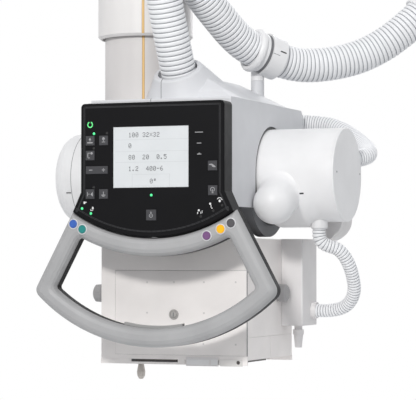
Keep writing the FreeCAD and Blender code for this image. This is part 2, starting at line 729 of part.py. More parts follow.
front_route = [on_collar(-34), on_collar(14), head_point(-10, 70, 377)]
middle_route = [on_clamp(-24), on_clamp(-60), head_point(38, 222, 334), head_point(10, 150, 396)]
supply_end = head_point(271.5, 366.8, 33.8)
supply_way = FreeCAD.Vector(-0.587, -0.8, -0.133).normalize()
side_route = [on_clamp(20), on_clamp(64), head_point(208, 440, 235), head_point(274, 492, 256),
              head_point(345, 530, 306), head_point(392, 562, 362)]
supply_route = [head_point(96, 440, 120), head_point(100, 486, 122), head_point(142, 512, 120),
                head_point(206, 508, 112), head_point(262, 480, 80), head_point(304, 436, 50),
                tuple(size - 40 * way for size, way in zip(supply_end, supply_way)), supply_end]
lead_route = [head_point(250, 262, -100), head_point(250, 262, -136), head_point(270, 276, -170),
              head_point(288, 306, -205), head_point(284, 344, -244), head_point(252, 372, -270),
              head_point(200, 372, -270)]

hose("service_hose_front", service_hose, front_route)
hose("service_hose_middle", service_hose, middle_route)
hose("service_hose_side", service_hose, side_route)
hose("tube_supply_hose", supply_hose, supply_route)


def along_way(name, radius, start, way, length):
    """A cylinder from a point in a direction."""
    cylinder = doc.addObject("Part::Cylinder", name)
    bind(cylinder, Radius=radius)
    cylinder.Height = length
    return put(cylinder, *start, FreeCAD.Rotation(FreeCAD.Vector(0, 0, 1), way))


def hose_end_cup(name, route):
    """The fitting at a hose's upper end: a cup with a flange, open towards the hose."""
    way = (vector(route[-1]) - vector(route[-2])).normalize()
    start = tuple(size - 26 * part for size, part in zip(route[-1], way))
    seat = tuple(size + 0.3 * part for size, part in zip(route[-1], way))
    cup_body = along_way(name + "_cup", service_hose / 2 + 5, start, way, 36)
    rim = along_way(name + "_rim", service_hose / 2 + 11, seat, way, 9.7)
    void = along_way(name + "_void", service_hose / 2 + seat_gap,
                     tuple(size - way_part for size, way_part in zip(start, way)), way, 27.3)
    return less(name, joined(name + "_outside", cup_body, rim), void)


keep(group("end_fittings", hose_end_cup("front_fitting", front_route),
           hose_end_cup("middle_fitting", middle_route),
           hose_end_cup("side_fitting", side_route)), "hose_end_fittings")

# Hose clamp: a ring with a pinch gap on the post, and the smooth cuff in front of it

clamp_half = clamp_width / 2
clamp_ring = along_way("clamp_ring", clamp_radius, on_clamp(-10), clamp_way, number(clamp_width))
clamp_void = along_way("clamp_void", service_hose / 2 + seat_gap, on_clamp(-40), clamp_way, 100)
saddle_foot = above(post_height + seat_gap)
saddle = rod("clamp_saddle", "z", post_radius, saddle_foot, above(240),
             (across(post_side), behind(post_depth)))
cuff_clear = along_way("cuff_clear", service_hose / 2 + 5 + seat_gap, on_clamp(-40), clamp_way, 29.4)
cuff = less("hose_cuff", along_way("cuff_body", service_hose / 2 + 5, on_clamp(-32), clamp_way, 21),
            along_way("cuff_void", service_hose / 2 + seat_gap, on_clamp(-34), clamp_way, 25))
clamp_body = less("clamp_body", joined("clamp_blank", clamp_ring, saddle), clamp_void, cuff_clear)
keep(group("clamp", clamp_body, cuff), "hose_clamp")

# Console: rear shell, face plate, display window and keys


def console_solid(name, inset, start, end):
    """The console's outline between two depths, its bottom edge an arc."""
    slab = prism(name + "_slab", "XZ_Plane", [
        (across(inset - console_half), above(console_top - inset)),
        (across(inset - console_half), above(-flare_start)),
        (across(inset - console_flare), above(-flare_end)),
        (across(inset - console_flare), above(-150)), (across(console_flare - inset), above(-150)),
        (across(console_flare - inset), above(-flare_end)),
        (across(console_half - inset), above(-flare_start)),
        (across(console_half - inset), above(console_top - inset))], start, end)
    round_edges(slab, 8 - inset, lambda edge: (
        runs_along("y")(edge) and edge.BoundBox.ZMin > number(above(console_top - inset)) - 1))
    disc = rod(name + "_disc", "y", console_arc - inset, start, end,
               (across(0), above(console_arc_rise)))
    return shared(name, slab, disc)


face_back = behind(face_thick)
console_back = behind(console_thick)
shell_void = console_solid("console_void", console_shell_wall, behind(0), console_back - 4)
console_shell = less("console_shell_body", console_solid("console_rear", 0, face_back, console_back),
                     shell_void)
keep(console_shell, "console_shell")

key_places = {
    "upper_left_key": (-127.4, 61.3), "upper_right_key": (-99, 61.3), "turn_key": (-127.4, 32.8),
    "lower_left_key": (-127.4, -41.6), "lower_right_key": (-99, -41.6),
    "format_key": (125.6, 9.3), "lamp_key": (126, -37.3),
}


def key_block(name, place, width, height):
    """A key with a collar behind the face that keeps it in."""
    right, up = place
    cap = block(name + "_cap", (across(right - width / 2), across(right + width / 2)),
                (behind(-key_stand), face_back + 2), (above(up - height / 2), above(up + height / 2)))
    cap = soften(name + "_soft", cap, 1, at_level("y", behind(-key_stand)))
    collar_plate = block(
        name + "_collar", (across(right - width / 2 - 1.5), across(right + width / 2 + 1.5)),
        (face_back + 2, face_back + 3.5), (above(up - height / 2 - 1.5), above(up + height / 2 + 1.5)))
    return joined(name + "_body", cap, collar_plate)


def key_hole(name, place, width, height):
    right, up = place
    return block(name + "_hole", (across(right - width / 2 - key_gap), across(right + width / 2 + key_gap)),
                 (behind(-5), face_back + 1),
                 (above(up - height / 2 - key_gap), above(up + height / 2 + key_gap)))


keys = [(name, place, key_side, key_side) for name, place in key_places.items()]
keys.append(("rocker_key", (-113.2, 4.6), key_long, key_low))
keys.append(("centre_key", (0.3, -82.8), key_side + 2, key_side + 2))
key_holes = [key_hole(*key) for key in keys]
display_hole = block("display_hole", (across(-display_left), across(display_right)),
                     (behind(-5), face_back + 1), (above(-display_foot), above(display_top)))
face_blank = less("face_blank", console_solid("console_front", 0, behind(0), face_back),
                  display_hole, *key_holes)
keep(soften("console_face_body", face_blank, 2.5, lambda edge: (
    at_level("y", behind(0))(edge) and (
        edge.Length > 160 or abs(edge.BoundBox.Center.x - number(head_x)) > 139
        or edge.BoundBox.ZMax < number(above(-100)))), "Part::Chamfer"), "console_face")
window_pane = block("window_pane", (across(run_gap - display_left), across(display_right - run_gap)),
                    (behind(1.2), behind(1.2 + display_thick)),
                    (above(run_gap - display_foot), above(display_top - run_gap)))
keep(window_pane, "display_window")
for key in keys:
    keep(key_block(*key), key[0])

# Handle: a closed frame whose upper bar follows the console's edge

side_run = bar_width * 1.135
upper_arc = console_arc + handle_gap


def frame_slab(name, inset, start, end):
    """The handle's tapered slab, narrowed by an inset."""
    top, foot = -50, -400
    narrow = handle_half + handle_flare * (top + flare_end + 1) * -1 - inset
    wide = handle_half + handle_flare * (flare_end + 1 + foot) * -1 - inset
    return prism(name, "XZ_Plane", [
        (across(-narrow), above(top)), (across(-wide), above(foot)),
        (across(wide), above(foot)), (across(narrow), above(top))], start, end)


def frame_solid(name, start, end):
    """The handle between two depths: two concentric bars joined by straight sides."""
    upper_centre = (across(0), above(console_arc_rise))
    lower_centre = (across(0), above(grip_arc_rise))
    outline = less(
        name + "_outline",
        shared(name + "_lower", frame_slab(name + "_slab", 0, start, end),
               rod(name + "_grip", "y", grip_arc, start, end, lower_centre)),
        rod(name + "_upper", "y", upper_arc, start - 1, end + 1, upper_centre))
    opening = less(
        name + "_opening",
        shared(name + "_inner", frame_slab(name + "_inner_slab", side_run, start - 1, end + 1),
               rod(name + "_inner_grip", "y", grip_arc - bar_width, start - 1, end + 1, lower_centre)),
        rod(name + "_inner_upper", "y", upper_arc + bar_width, start - 2, end + 2, upper_centre))
    frame = less(name + "_frame", outline, opening)
    lower_outer = above(-200).value
    return soften(
        name + "_corners",
        soften(name + "_inner_corners", frame, handle_inner_corner, lambda edge: (
            runs_along("y")(edge) and abs(edge.BoundBox.XMin - number(head_x)) < 215
            and edge.BoundBox.ZMax < number(above(-115)))),
        handle_outer_corner, lambda edge: (runs_along("y")(edge) and edge.BoundBox.ZMax < lower_outer
                          and abs(edge.BoundBox.XMin - number(head_x)) > 230))


button_turns = {"blue_button": -30.7, "teal_button": -26.8, "purple_button": 20.8,
                "yellow_button": 26.3, "grey_button": 30.5}
button_arc = upper_arc + bar_width / 2


def button_centre(turn):
    return (across(button_arc * sine(turn)), above(console_arc_rise - button_arc * cosine(turn)))


handle_split = behind(handle_front)
handle_back = behind(handle_depth)
button_holes = [rod("button_hole", "y", button_radius + key_gap, behind(-1), handle_split + 1,
                    button_centre(turn)) for turn in button_turns.values()]
front_frame = frame_solid("handle_front_frame", behind(0), handle_split)
front_frame = soften("handle_front_bevel", front_frame, handle_bevel, at_level("y", behind(0)),
                     "Part::Chamfer")
front_frame = soften("handle_front_soft", front_frame, handle_bevel * 0.42, lambda edge: (
    at_level("y", behind(0))(edge) or at_level("y", behind(handle_bevel))(edge)), "Part::Chamfer")
keep(less("handle_front_body", front_frame, *button_holes), "handle_front_shell")

release_low = handle_split + 4
release_high = handle_split + 16
grip_inner = grip_arc - bar_width
grip_centre = (across(0), above(grip_arc_rise))


def grip_strip(name, near, far, half, start, end):
    """A curved strip above the lower grip, between two radii of its arc."""
    return shared(name, ring(name + "_ring", "y", far, near, start, end, grip_centre),
                  block(name + "_limits", (across(release_side - half), across(release_side + half)),
                        (start - 1, end + 1), (above(-400), above(-200))))


release_slot = grip_strip("release_slot", grip_inner - 20, grip_inner + 14 + release_travel,
                          release_half + 1, release_low - seat_gap, release_high + seat_gap)
rear_frame = soften("handle_rear_soft", frame_solid("handle_rear_frame", handle_split, handle_back),
                    handle_bevel / 2, at_level("y", handle_back), "Part::Chamfer")
button_pits = [rod("button_pit", "y", button_radius + 2, handle_split - 1, handle_split + 7,
                   button_centre(turn)) for turn in button_turns.values()]
keep(less("handle_rear_body", rear_frame, release_slot, *button_pits), "handle_rear_shell")
keep(grip_strip("release", grip_inner - release_show, grip_inner + 6, release_half, release_low, release_high),
     "release_bar")

for name, turn in button_turns.items():
    button = turned(name + "_turned", "y", [
        (0, 0), (button_radius - 1.5, 0), (button_radius, 1.5),
        (button_radius, handle_front + button_stand + 0.4),
        (button_radius + 1.5, handle_front + button_stand + 0.4),
        (button_radius + 1.5, handle_front + button_stand + 2.4),
        (0, handle_front + button_stand + 2.4)], behind(-button_stand), button_centre(turn))
    keep(button, name)

# Tube unit: lead-lined housing with journals, carrier rings and the beam port's neck

lid_top = above(-box_top)
neck_foot = lid_top - lid_thick - 6
housing_shell = turned("housing_shell", "x", [
    (0, 0), (housing_radius, 0), (housing_radius, housing_half - carrier_place - carrier_width),
    (tube_radius - tube_wall - 0.1, housing_half - carrier_place - carrier_width),
    (tube_radius - tube_wall - 0.1, housing_half - carrier_place),
    (housing_radius, housing_half - carrier_place),
    (housing_radius, housing_half - cheek_near - cheek_thick - 1),
    (journal_radius, housing_half - cheek_near - cheek_thick - 1),
    (journal_radius, housing_half - cheek_near + 1), (housing_radius, housing_half - cheek_near + 1),
    (housing_radius, housing_half + cheek_near - 1), (journal_radius, housing_half + cheek_near - 1),
    (journal_radius, housing_half + cheek_near + cheek_thick + 1),
    (housing_radius, housing_half + cheek_near + cheek_thick + 1),
    (housing_radius, housing_half + carrier_place),
    (tube_radius - tube_wall - 0.1, housing_half + carrier_place),
    (tube_radius - tube_wall - 0.1, housing_half + carrier_place + carrier_width),
    (housing_radius, housing_half + carrier_place + carrier_width),
    (housing_radius, housing_half * 2), (0, housing_half * 2)], across(-housing_half), tube_axis)
beam_axis = (across(0), tube_y)
neck = rod("port_neck", "z", neck_radius, neck_foot, above(-housing_radius + 14), beam_axis)
shoulder = rod("port_shoulder", "z", shoulder_radius, lid_top + seat_gap, lid_top + 7, beam_axis)
retainer = rod("port_retainer", "z", shoulder_radius - 4, neck_foot, lid_top - lid_thick - seat_gap,
               beam_axis)
housing_void = rod("housing_void", "x", housing_radius - housing_wall,
                   across(housing_wall - housing_half), across(housing_half - housing_wall), tube_axis)
port_bore = rod("port_bore", "z", neck_bore, neck_foot - 1, tube_z, beam_axis)
keep(less("housing_body", joined("housing_outside", housing_shell, neck, shoulder, retainer),
          housing_void, port_bore), "tube_housing")

# Glass envelope with its necks, cathode post and the rotating anode

stem_end = housing_half - housing_wall - seat_gap
bulb_half = envelope_bulb + 16
glass = 3
rotor_end = 150
envelope_outside = turned("envelope_outside", "x", [
    (0, 0), (envelope_neck - 4, 0), (envelope_neck - 4, stem_end - bulb_half - 20),
    (envelope_bulb, stem_end - bulb_half), (envelope_bulb, stem_end + bulb_half - 20),
    (envelope_neck, stem_end + bulb_half), (envelope_neck, stem_end * 2), (0, stem_end * 2)],
    across(-stem_end), tube_axis)
envelope_void = turned("envelope_void", "x", [
    (10, bulb_half - 20 - 12), (envelope_bulb - glass, bulb_half - 20 - 12),
    (envelope_bulb - glass, bulb_half * 2 - 28), (rotor_radius + run_gap, bulb_half * 2 - 12),
    (rotor_radius + run_gap, bulb_half + rotor_end + 1), (0, bulb_half + rotor_end + 1),
    (0, bulb_half - 12), (10, bulb_half - 12)], across(-bulb_half), tube_axis)
keep(less("envelope_body", envelope_outside, envelope_void), "tube_envelope")
keep(turned("anode", "x", [
    (0, 0), (anode_radius - 12, 0), (anode_radius, 5), (anode_radius, 13), (8, 13), (8, 50),
    (rotor_radius, 54), (rotor_radius, rotor_end), (0, rotor_end)], across(0), tube_axis),
    "anode_rotor")

# Tube covers

cover_bore = tube_radius - tube_wall
cover_end = tube_half - tube_wall
right_sleeve = ring("right_sleeve", "x", tube_radius, cover_bore, across(cover_start),
                    across(cover_end), tube_axis)
right_void = rod("right_void", "x", cover_bore + tube_wall / 2, across(cover_start - 1),
                 across(cover_end + 1), tube_axis)
skirt_outline = [(across(cover_start + 18), above(-60)), (across(cover_end), above(-60)),
                 (across(cover_end), above(-tube_radius - 1)), (across(248), above(-tube_radius - 1)),
                 (across(175), above(-skirt_foot)), (across(cover_start + 18), above(-skirt_foot))]
skirt_blank = prism("skirt_blank", "XZ_Plane", skirt_outline, tube_y - 52, tube_y + 8)
skirt_hollow = prism("skirt_hollow", "XZ_Plane", [
    (across(cover_start + 22), above(-60)), (across(cover_end - 4), above(-60)),
    (across(cover_end - 4), above(3 - tube_radius)), (across(249), above(3 - tube_radius)),
    (across(176), above(4 - skirt_foot)), (across(cover_start + 22), above(4 - skirt_foot))],
    tube_y - 48, tube_y + 9)
skirt = less("skirt", skirt_blank, skirt_hollow)
dome_place = (across(dome_side), tube_y - dome_front, above(-dome_drop))
dome = ball("dome_ball", dome_radius, *dome_place)
dome_way = FreeCAD.Vector(0, number(dome_front), number(dome_drop)).normalize()
dome_root = along_way("dome_root", dome_radius - 0.5, dome_place, dome_way, 70)
gland = along_way("supply_gland", supply_hose / 2 + 4,
                  tuple(size - 13 * way for size, way in zip(supply_end, supply_way)), supply_way, 44)
lead_socket = rod("lead_socket", "z", lead_hose / 2 + 3, above(-106), above(-70),
                  (across(250), behind(262)))
cover_slot = block("cover_slot", (across(cover_end - 88), across(cover_end - 76)),
                   (tube_y - tube_radius - 2, tube_y - tube_radius + 8), (above(-20), above(-17)))
supply_seat = along_way("supply_seat", supply_hose / 2 + seat_gap,
                        tuple(size - 16 * way for size, way in zip(supply_end, supply_way)),
                        supply_way, 16.3)
lead_seat = rod("lead_seat", "z", lead_hose / 2 + seat_gap, above(-120), above(-99.6),
                (across(250), behind(262)))
right_extras = []
for extra, pocket in ((skirt, None), (dome, None), (dome_root, None), (gland, supply_seat),
                      (lead_socket, lead_seat)):
    trimmed = less(extra.Name + "_trimmed", extra, right_void)
    right_extras.append(less(extra.Name + "_open", trimmed, pocket) if pocket else trimmed)
open_sleeve = less("open_sleeve", right_sleeve, supply_seat, lead_seat)
right_outside = joined("right_cover_outside", open_sleeve, *right_extras)
right_outside.Refine = False
keep(less("right_cover_body", right_outside, cover_slot), "tube_cover_right")
keep(ring("left_sleeve", "x", tube_radius, cover_bore, across(-cap_seam + seat_gap),
          across(-cover_start), tube_axis), "tube_cover_left")

end_disc = turned("end_disc", "x", [
    (0, 0), (cover_bore - 0.1, 0), (cover_bore - 0.1, 8 + seat_gap / 2),
    (tube_radius, 8 + seat_gap / 2), (tube_radius, 11), (tube_radius - 1, 12), (0, 12)],
    across(tube_half - 12), tube_axis)
cap_profile = [(0, 0)]
for turn in range(0, 91, 15):
    cap_profile.append((tube_radius - cap_round + cap_round * sine(turn),
                        cap_round - cap_round * cosine(turn)))
cap_profile += [(tube_radius, cap_length), (0, cap_length)]
cap_soft = turned("cap_soft", "x", cap_profile, across(-tube_half), tube_axis)
cap_void = rod("cap_void", "x", cover_bore - 12, across(cap_round - tube_half + 6),
               across(1 - cap_seam), tube_axis)
cap_spigot = ring("cap_spigot", "x", cover_bore - 0.1, cover_bore - 4, across(-cap_seam - 1),
                  across(12 - cap_seam), tube_axis)
keep(group("end_covers", end_disc, joined("left_cap", less("left_cap_shell", cap_soft, cap_void),
                                          cap_spigot)), "tube_end_covers")

lobe_back = tube_radius - 1
lobe = prism("rear_lobe", "XZ_Plane", [
    (across(lobe_near), above(-60)), (across(tube_half - 1), above(-60)),
    (across(tube_half - 1), above(-lobe_foot)), (across(lobe_near), above(-lobe_foot))],
    tube_y + lobe_front, tube_y + lobe_back)
lobe = round_edges(lobe, lobe_round, lambda edge: (
    runs_along("y")(edge) and edge.BoundBox.ZMax < number(above(-lobe_foot)) + 1
    and edge.BoundBox.XMin > number(across(tube_half)) - 3))
lobe_cut = rod("lobe_cut", "x", tube_radius + 0.1, across(lobe_near - 1), across(tube_half + 1), tube_axis)
keep(less("lobe_body", lobe, lobe_cut), "tube_rear_cover")

# Collimator: lid, housing with its leaf shelves, base, door and side box

front_wall = tube_y - box_front
back_wall = tube_y + box_back
lid_foot = lid_top - lid_thick
seam_level = above(-box_seam)
box_limits = (across(-box_half), across(box_half))
lid = block("lid_blank", box_limits, (front_wall, back_wall), (lid_foot, lid_top))
lid = soften("lid_soft", lid, 3, at_level("z", lid_top))
keep(less("lid_body", lid, rod("lid_bore", "z", neck_radius + run_gap, lid_foot - 1, lid_top + 1, beam_axis)),
     "collimator_lid")


def beam_window(name, low, high):
    return block(name, (across(-window_half), across(window_half)),
                 (tube_y - window_half, tube_y + window_half), (low, high))


housing_top = lid_foot - seat_gap / 3
shelf_one = above(-shelf_drop)
shelf_two = shelf_one - shelf_thick - leaf_thick - seat_gap * 2
box_blank = block("box_blank", box_limits, (front_wall, back_wall), (seam_level, housing_top))
box_blank = soften("box_soft", box_blank, 2.5, runs_along("z"))
inner_limits = (across(box_wall - box_half), across(box_half - box_wall))
inner_depth = (front_wall + box_wall + door_thick, back_wall - box_wall)
box_upper_void = block("box_upper_void", inner_limits, inner_depth, (shelf_one, housing_top + 1))
box_gap_void = block("box_gap_void", inner_limits, inner_depth, (shelf_two, shelf_one - shelf_thick))
box_lower_void = block("box_lower_void", inner_limits, inner_depth,
                       (seam_level - 1, shelf_two - shelf_thick))
door_recess = block("door_recess", (across(-door_left - seat_gap), across(box_half + 1)),
                    (front_wall - 1, front_wall + door_thick), (seam_level - 1, above(-door_top) + seat_gap))
left_shaft_axis = (tube_y - left_knob_front, above(-knob_drop))
right_shaft_axis = (tube_y + right_knob_back, above(-knob_drop))
shaft_radius = 5
left_shaft_hole = rod("left_shaft_hole", "x", shaft_radius + run_gap, across(-box_half - 1),
                      across(box_wall - box_half + 1), left_shaft_axis)
right_shaft_hole = rod("right_shaft_hole", "x", shaft_radius + run_gap, across(box_half - box_wall - 1),
                       across(box_half + 1), right_shaft_axis)
keep(less("box_body", box_blank, box_upper_void, box_gap_void, box_lower_void, door_recess,
          beam_window("shelf_window", shelf_two - shelf_thick - 1, shelf_one + 1),
          left_shaft_hole, right_shaft_hole), "collimator_housing")

base_foot = above(-box_foot)
base_blank = block("base_blank", box_limits, (front_wall, back_wall), (base_foot, seam_level - seat_gap))
base_blank = soften("base_soft", base_blank, 2.5, runs_along("z"))
base_void = block("base_void", inner_limits, inner_depth, (base_foot + 6, seam_level + 1))
base_recess = block("base_recess", (across(-door_left - seat_gap), across(box_half + 1)),
                    (front_wall - 1, front_wall + door_thick), (above(-door_foot) - seat_gap, seam_level + 1))
joint_groove = block("joint_groove", (across(box_half - 1.5), across(box_half + 1)),
                     (tube_y - 35, tube_y - 33.5), (base_foot - 1, seam_level + 1))
pane_seat = block("pane_seat", (across(-window_half - 8), across(window_half + 8)),
                  (tube_y - window_half - 8, tube_y + window_half + 8), (base_foot + 3, base_foot + 7))
lever_pivots = {"left": (across(-80), front_wall + 18), "right": (across(140), front_wall + 26)}
drop_knob_axis = (across(-84), front_wall + 38)
pivot_holes = [rod("pivot_hole", "z", 3 + run_gap, base_foot - 1, base_foot + 7, place)
               for place in (*lever_pivots.values(), drop_knob_axis)]
keep(less("base_body", base_blank, base_void, base_recess, joint_groove, pane_seat,
          beam_window("exit_hole", base_foot - 1, base_foot + 8), *pivot_holes), "collimator_base")
keep(block("exit_window", (across(-window_half - 8 + seat_gap), across(window_half + 8 - seat_gap)),
           (tube_y - window_half - 8 + seat_gap, tube_y + window_half + 8 - seat_gap),
           (base_foot + 3, base_foot + 6)), "exit_window")

door_plate = block("door_plate", (across(-door_left), across(box_half - 1)),
                   (front_wall - 0.6, front_wall + door_thick - 0.1), (above(-door_foot), above(-door_top)))
door_plate = soften("door_soft", door_plate, 0.8, at_level("y", front_wall - 0.6))
dimples = []
for right, up in ((-79, -211), (-26, -211), (30, -211), (92, -211), (-79, -270), (30, -270),
                  (30, -332), (92, -332), (-110, -211)):
    dimples.append(rod("dimple", "y", 2.2, front_wall - 2, front_wall + 0.8, (across(right), above(up))))
latch_axis = (across(-28), above(-273))
latch_hole = rod("latch_hole", "y", 5.2, front_wall - 2, front_wall + 4, latch_axis)
latch_face = turned("latch_face", "y", [(0, 0), (8.6, 0), (9.5, 1), (9.5, 2.6), (5, 2.6), (5, 5.6), (0, 5.6)],
                    front_wall - 3.4, latch_axis)
latch_slot = block("latch_slot", (latch_axis[0] - 5, latch_axis[0] + 5),
                   (front_wall - 4, front_wall - 2.4), (latch_axis[1] - 1, latch_axis[1] + 1))
keep(group("door", less("door_body", door_plate, *dimples, latch_hole),
           less("latch_body", latch_face, latch_slot)), "collimator_door")

side_limits = (across(box_half + seat_gap), across(box_half + side_box_width))
side_blank = block("side_blank", side_limits, (tube_y + side_box_front, tube_y + side_box_back),
                   (above(-side_box_foot), lid_top))
side_blank = soften("side_soft", side_blank, 3, lambda edge: (
    runs_along("z")(edge) and edge.BoundBox.XMin > number(side_limits[1]) - 1))
plug_axis = (across(box_half + 30), tube_y + side_box_front + 18)
plug = turned("side_plug", "z", [(0, 0), (7, 0), (9.5, 26), (11, 26), (11, 36), (0, 36)],
              above(-side_box_foot - 44), plug_axis)
plug_neck = rod("plug_neck", "z", 8, above(-side_box_foot - 9), above(-side_box_foot + 2), plug_axis)
lead_boss = rod("lead_boss", "x", lead_hose / 2 + 3, across(box_half + side_box_width - 2),
                across(box_half + side_box_width + 10), (behind(372), above(-270)))
lead_pocket = rod("lead_pocket", "x", lead_hose / 2 + seat_gap, across(199.6),
                  across(220), (behind(372), above(-270)))
keep(less("side_box_body", joined("side_box_outside", side_blank, plug, plug_neck, lead_boss), lead_pocket),
     "side_box")
hose("collimator_hose", lead_hose, lead_route)

# Light field unit: mirror on its bracket and the lamp behind it

mirror_tilt = FreeCAD.Rotation(FreeCAD.Vector(1, 0, 0), 45)
mirror = doc.addObject("Part::Box", "mirror_plate")
mirror.Length = 80
mirror.Width = 66
mirror.Height = 2
put(mirror, across(-40), tube_y - 23, above(-196), mirror_tilt)
mirror_bracket = block("mirror_bracket", (across(-54), across(54)), (tube_y - 26, tube_y - 22),
                       (shelf_one + seat_gap, shelf_one + 6))
lamp = rod("field_lamp", "y", 14, tube_y + 52, back_wall - box_wall - seat_gap, (across(0), above(-170)))
keep(group("light_field", joined("mirror_unit", mirror, mirror_bracket), lamp), "light_field_unit")

# Lead leaves in two crossed pairs


def leaf(name, sideways, sign):
    """A lead leaf beside the open beam, on its shelf."""
    near, far = leaf_open, leaf_open + leaf_wide
    low, high = (near, far) if sign > 0 else (-far, -near)
    half = leaf_long / 2
    if sideways:
        limits = ((across(low), across(high)), (tube_y - half, tube_y + half))
        level = shelf_one - shelf_thick - seat_gap - leaf_thick
    else:
        limits = ((across(-half), across(half)), (tube_y + low, tube_y + high))
        level = shelf_two - shelf_thick - seat_gap - leaf_thick
    return keep(block(name + "_plate", *limits, (level, level + leaf_thick)), name)


leaf("leaf_left", True, -1)
leaf("leaf_right", True, 1)
leaf("leaf_front", False, -1)
leaf("leaf_rear", False, 1)

# Collimator knobs on their shafts


def knob(name, axis_place, side):
    """A ribbed knob with its shaft, on the left (-1) or right (1) wall."""
    reach = 20
    body = turned(name + "_turned", "x", [
        (0, 0), (shaft_radius, 0), (shaft_radius, 12 + box_wall), (knob_radius - 2, 12 + box_wall),
        (knob_radius, 15 + box_wall), (knob_radius - 1, 9 + reach + box_wall),
        (knob_radius - 5, 12 + reach + box_wall), (0, 12 + reach + box_wall)],
        across(box_half - 11 - box_wall), axis_place)
    if side < 0:
        put(body, across(11 + box_wall - box_half), *axis_place,
            FreeCAD.Rotation(FreeCAD.Vector(0, 1, 0), -90))
    flutes = []
    for turn in range(0, 360, 45):
        y = axis_place[0] + knob_radius * 1.06 * cosine(turn)
        z = axis_place[1] + knob_radius * 1.06 * sine(turn)
        limits = (across(box_half + 4), across(box_half + 24))
        if side < 0:
            limits = (across(-box_half - 24), across(-box_half - 4))
        flutes.append(rod("flute", "x", 2.2, *limits, (y, z)))
    return keep(less(name + "_body", body, *flutes), name)


knob("left_knob", left_shaft_axis, -1)
knob("right_knob", right_shaft_axis, 1)

# Underside: accessory rail, two flat levers and the drop-shaped knob

rail_top = base_foot - seat_gap
rail = prism("rail_section", "XZ_Plane", [
    (across(23), rail_top), (across(23), rail_top - 9), (across(133), rail_top - 9),
    (across(145), rail_top)], front_wall + 2, front_wall + 12)
rail_slot = block("rail_slot", (across(35), across(121)), (front_wall + 7, front_wall + 13),
                  (rail_top - 6, rail_top - 3))
rear_rail = block("rear_rail", (across(-106), across(106)), (back_wall - 14, back_wall - 4),
                  (rail_top - 9, rail_top))
keep(group("rails", less("rail_body", rail, rail_slot), rear_rail), "accessory_rail")

lever_top = base_foot - 0.4
for side, (x, y) in lever_pivots.items():
    if side == "left":
        limits = (x - 8, x + lever_reach), (y - 5, y + 5)
    else:
        limits = (x - 5, x + 5), (y - 8, y + lever_reach * 1.3)
    arm = block(f"lever_{side}_bar", *limits, (lever_top - lever_thick, lever_top))
    arm = soften(f"lever_{side}_soft", arm, 4.5, runs_along("z"))
    pin = rod(f"lever_{side}_pin", "z", 3, lever_top - lever_thick - 1.5, base_foot + 9, (x, y))
    keep(joined(f"lever_{side}_body", arm, pin), f"lever_{side}")
drop_low = above(-drop_knob_foot)
drop_rise = base_foot - drop_low
drop_body = turned("drop_body", "z", [
    (0, 0), (4, 1), (7.5, 7), (8.4, 15), (5, 33), (6, drop_rise - 0.5), (3, drop_rise - 0.5),
    (3, drop_rise + 9), (0, drop_rise + 9)],
    drop_low, drop_knob_axis)
keep(drop_body, "drop_knob")

# Checks and files

doc.recompute()
faulty = [thing.Label for thing in doc.Objects if "Invalid" in thing.State or "Error" in thing.State]
if faulty:
    raise SystemExit(f"failed objects: {faulty}")
for thing in nodes:
    if thing.Shape.isNull() or not thing.Shape.isValid() or not thing.Shape.Solids:
        raise SystemExit(f"bad shape: {thing.Label}")
os.makedirs("parts", exist_ok=True)
for thing in nodes:
    thing.Shape.exportStep(os.path.join("parts", thing.Label + ".step"))
print(f"{len(nodes)} nodes written")
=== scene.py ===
import math

import bmesh
import bpy
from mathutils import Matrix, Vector


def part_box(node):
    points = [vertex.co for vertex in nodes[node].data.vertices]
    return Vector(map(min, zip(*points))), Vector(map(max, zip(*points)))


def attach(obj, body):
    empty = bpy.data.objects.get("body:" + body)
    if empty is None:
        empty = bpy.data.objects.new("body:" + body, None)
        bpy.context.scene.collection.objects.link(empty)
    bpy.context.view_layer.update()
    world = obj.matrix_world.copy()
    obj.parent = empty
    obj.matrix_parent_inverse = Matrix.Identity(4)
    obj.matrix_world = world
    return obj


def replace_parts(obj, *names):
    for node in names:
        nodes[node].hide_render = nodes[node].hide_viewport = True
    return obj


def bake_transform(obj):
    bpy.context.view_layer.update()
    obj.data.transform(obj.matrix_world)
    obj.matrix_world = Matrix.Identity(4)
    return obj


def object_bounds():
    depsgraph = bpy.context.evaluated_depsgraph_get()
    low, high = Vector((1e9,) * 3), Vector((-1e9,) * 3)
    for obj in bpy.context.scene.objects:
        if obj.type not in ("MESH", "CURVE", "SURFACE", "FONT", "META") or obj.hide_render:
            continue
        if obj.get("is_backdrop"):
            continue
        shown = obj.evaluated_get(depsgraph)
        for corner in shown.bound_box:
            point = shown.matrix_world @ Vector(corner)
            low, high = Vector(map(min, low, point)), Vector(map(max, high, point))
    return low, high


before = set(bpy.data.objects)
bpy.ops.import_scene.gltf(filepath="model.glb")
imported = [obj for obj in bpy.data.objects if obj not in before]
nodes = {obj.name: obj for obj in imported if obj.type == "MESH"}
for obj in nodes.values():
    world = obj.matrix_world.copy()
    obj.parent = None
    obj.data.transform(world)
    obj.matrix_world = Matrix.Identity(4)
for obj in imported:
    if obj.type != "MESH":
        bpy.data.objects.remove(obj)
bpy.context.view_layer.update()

# The head's middle plane, the console's front and the tube axis's height in the shared frame, in metres
HEAD_X, FRONT_Y, AXIS_Z = 0.110, -0.230, -0.650

# The tube axis behind the console's front and the tube covers' radius, in millimetres
TUBE_BACK, TUBE_RADIUS = 278, 93

# The arcs of console and handle have one centre, this high above the tube axis, in millimetres
ARC_UP = 176

# The collimator's half width, and the top and foot of its lower lip, in millimetres
COLLIMATOR_HALF, LIP_TOP, LIP_FOOT = 154, -361.9, -371.6


def at(right, back, up):
    """A point from millimetres right of the middle, behind the console's front, above the tube axis."""
    return Vector((HEAD_X + right / 1000, FRONT_Y + back / 1000, AXIS_Z + up / 1000))


# Camera, fitted to the photo's edges of console, tube, handle and collimator

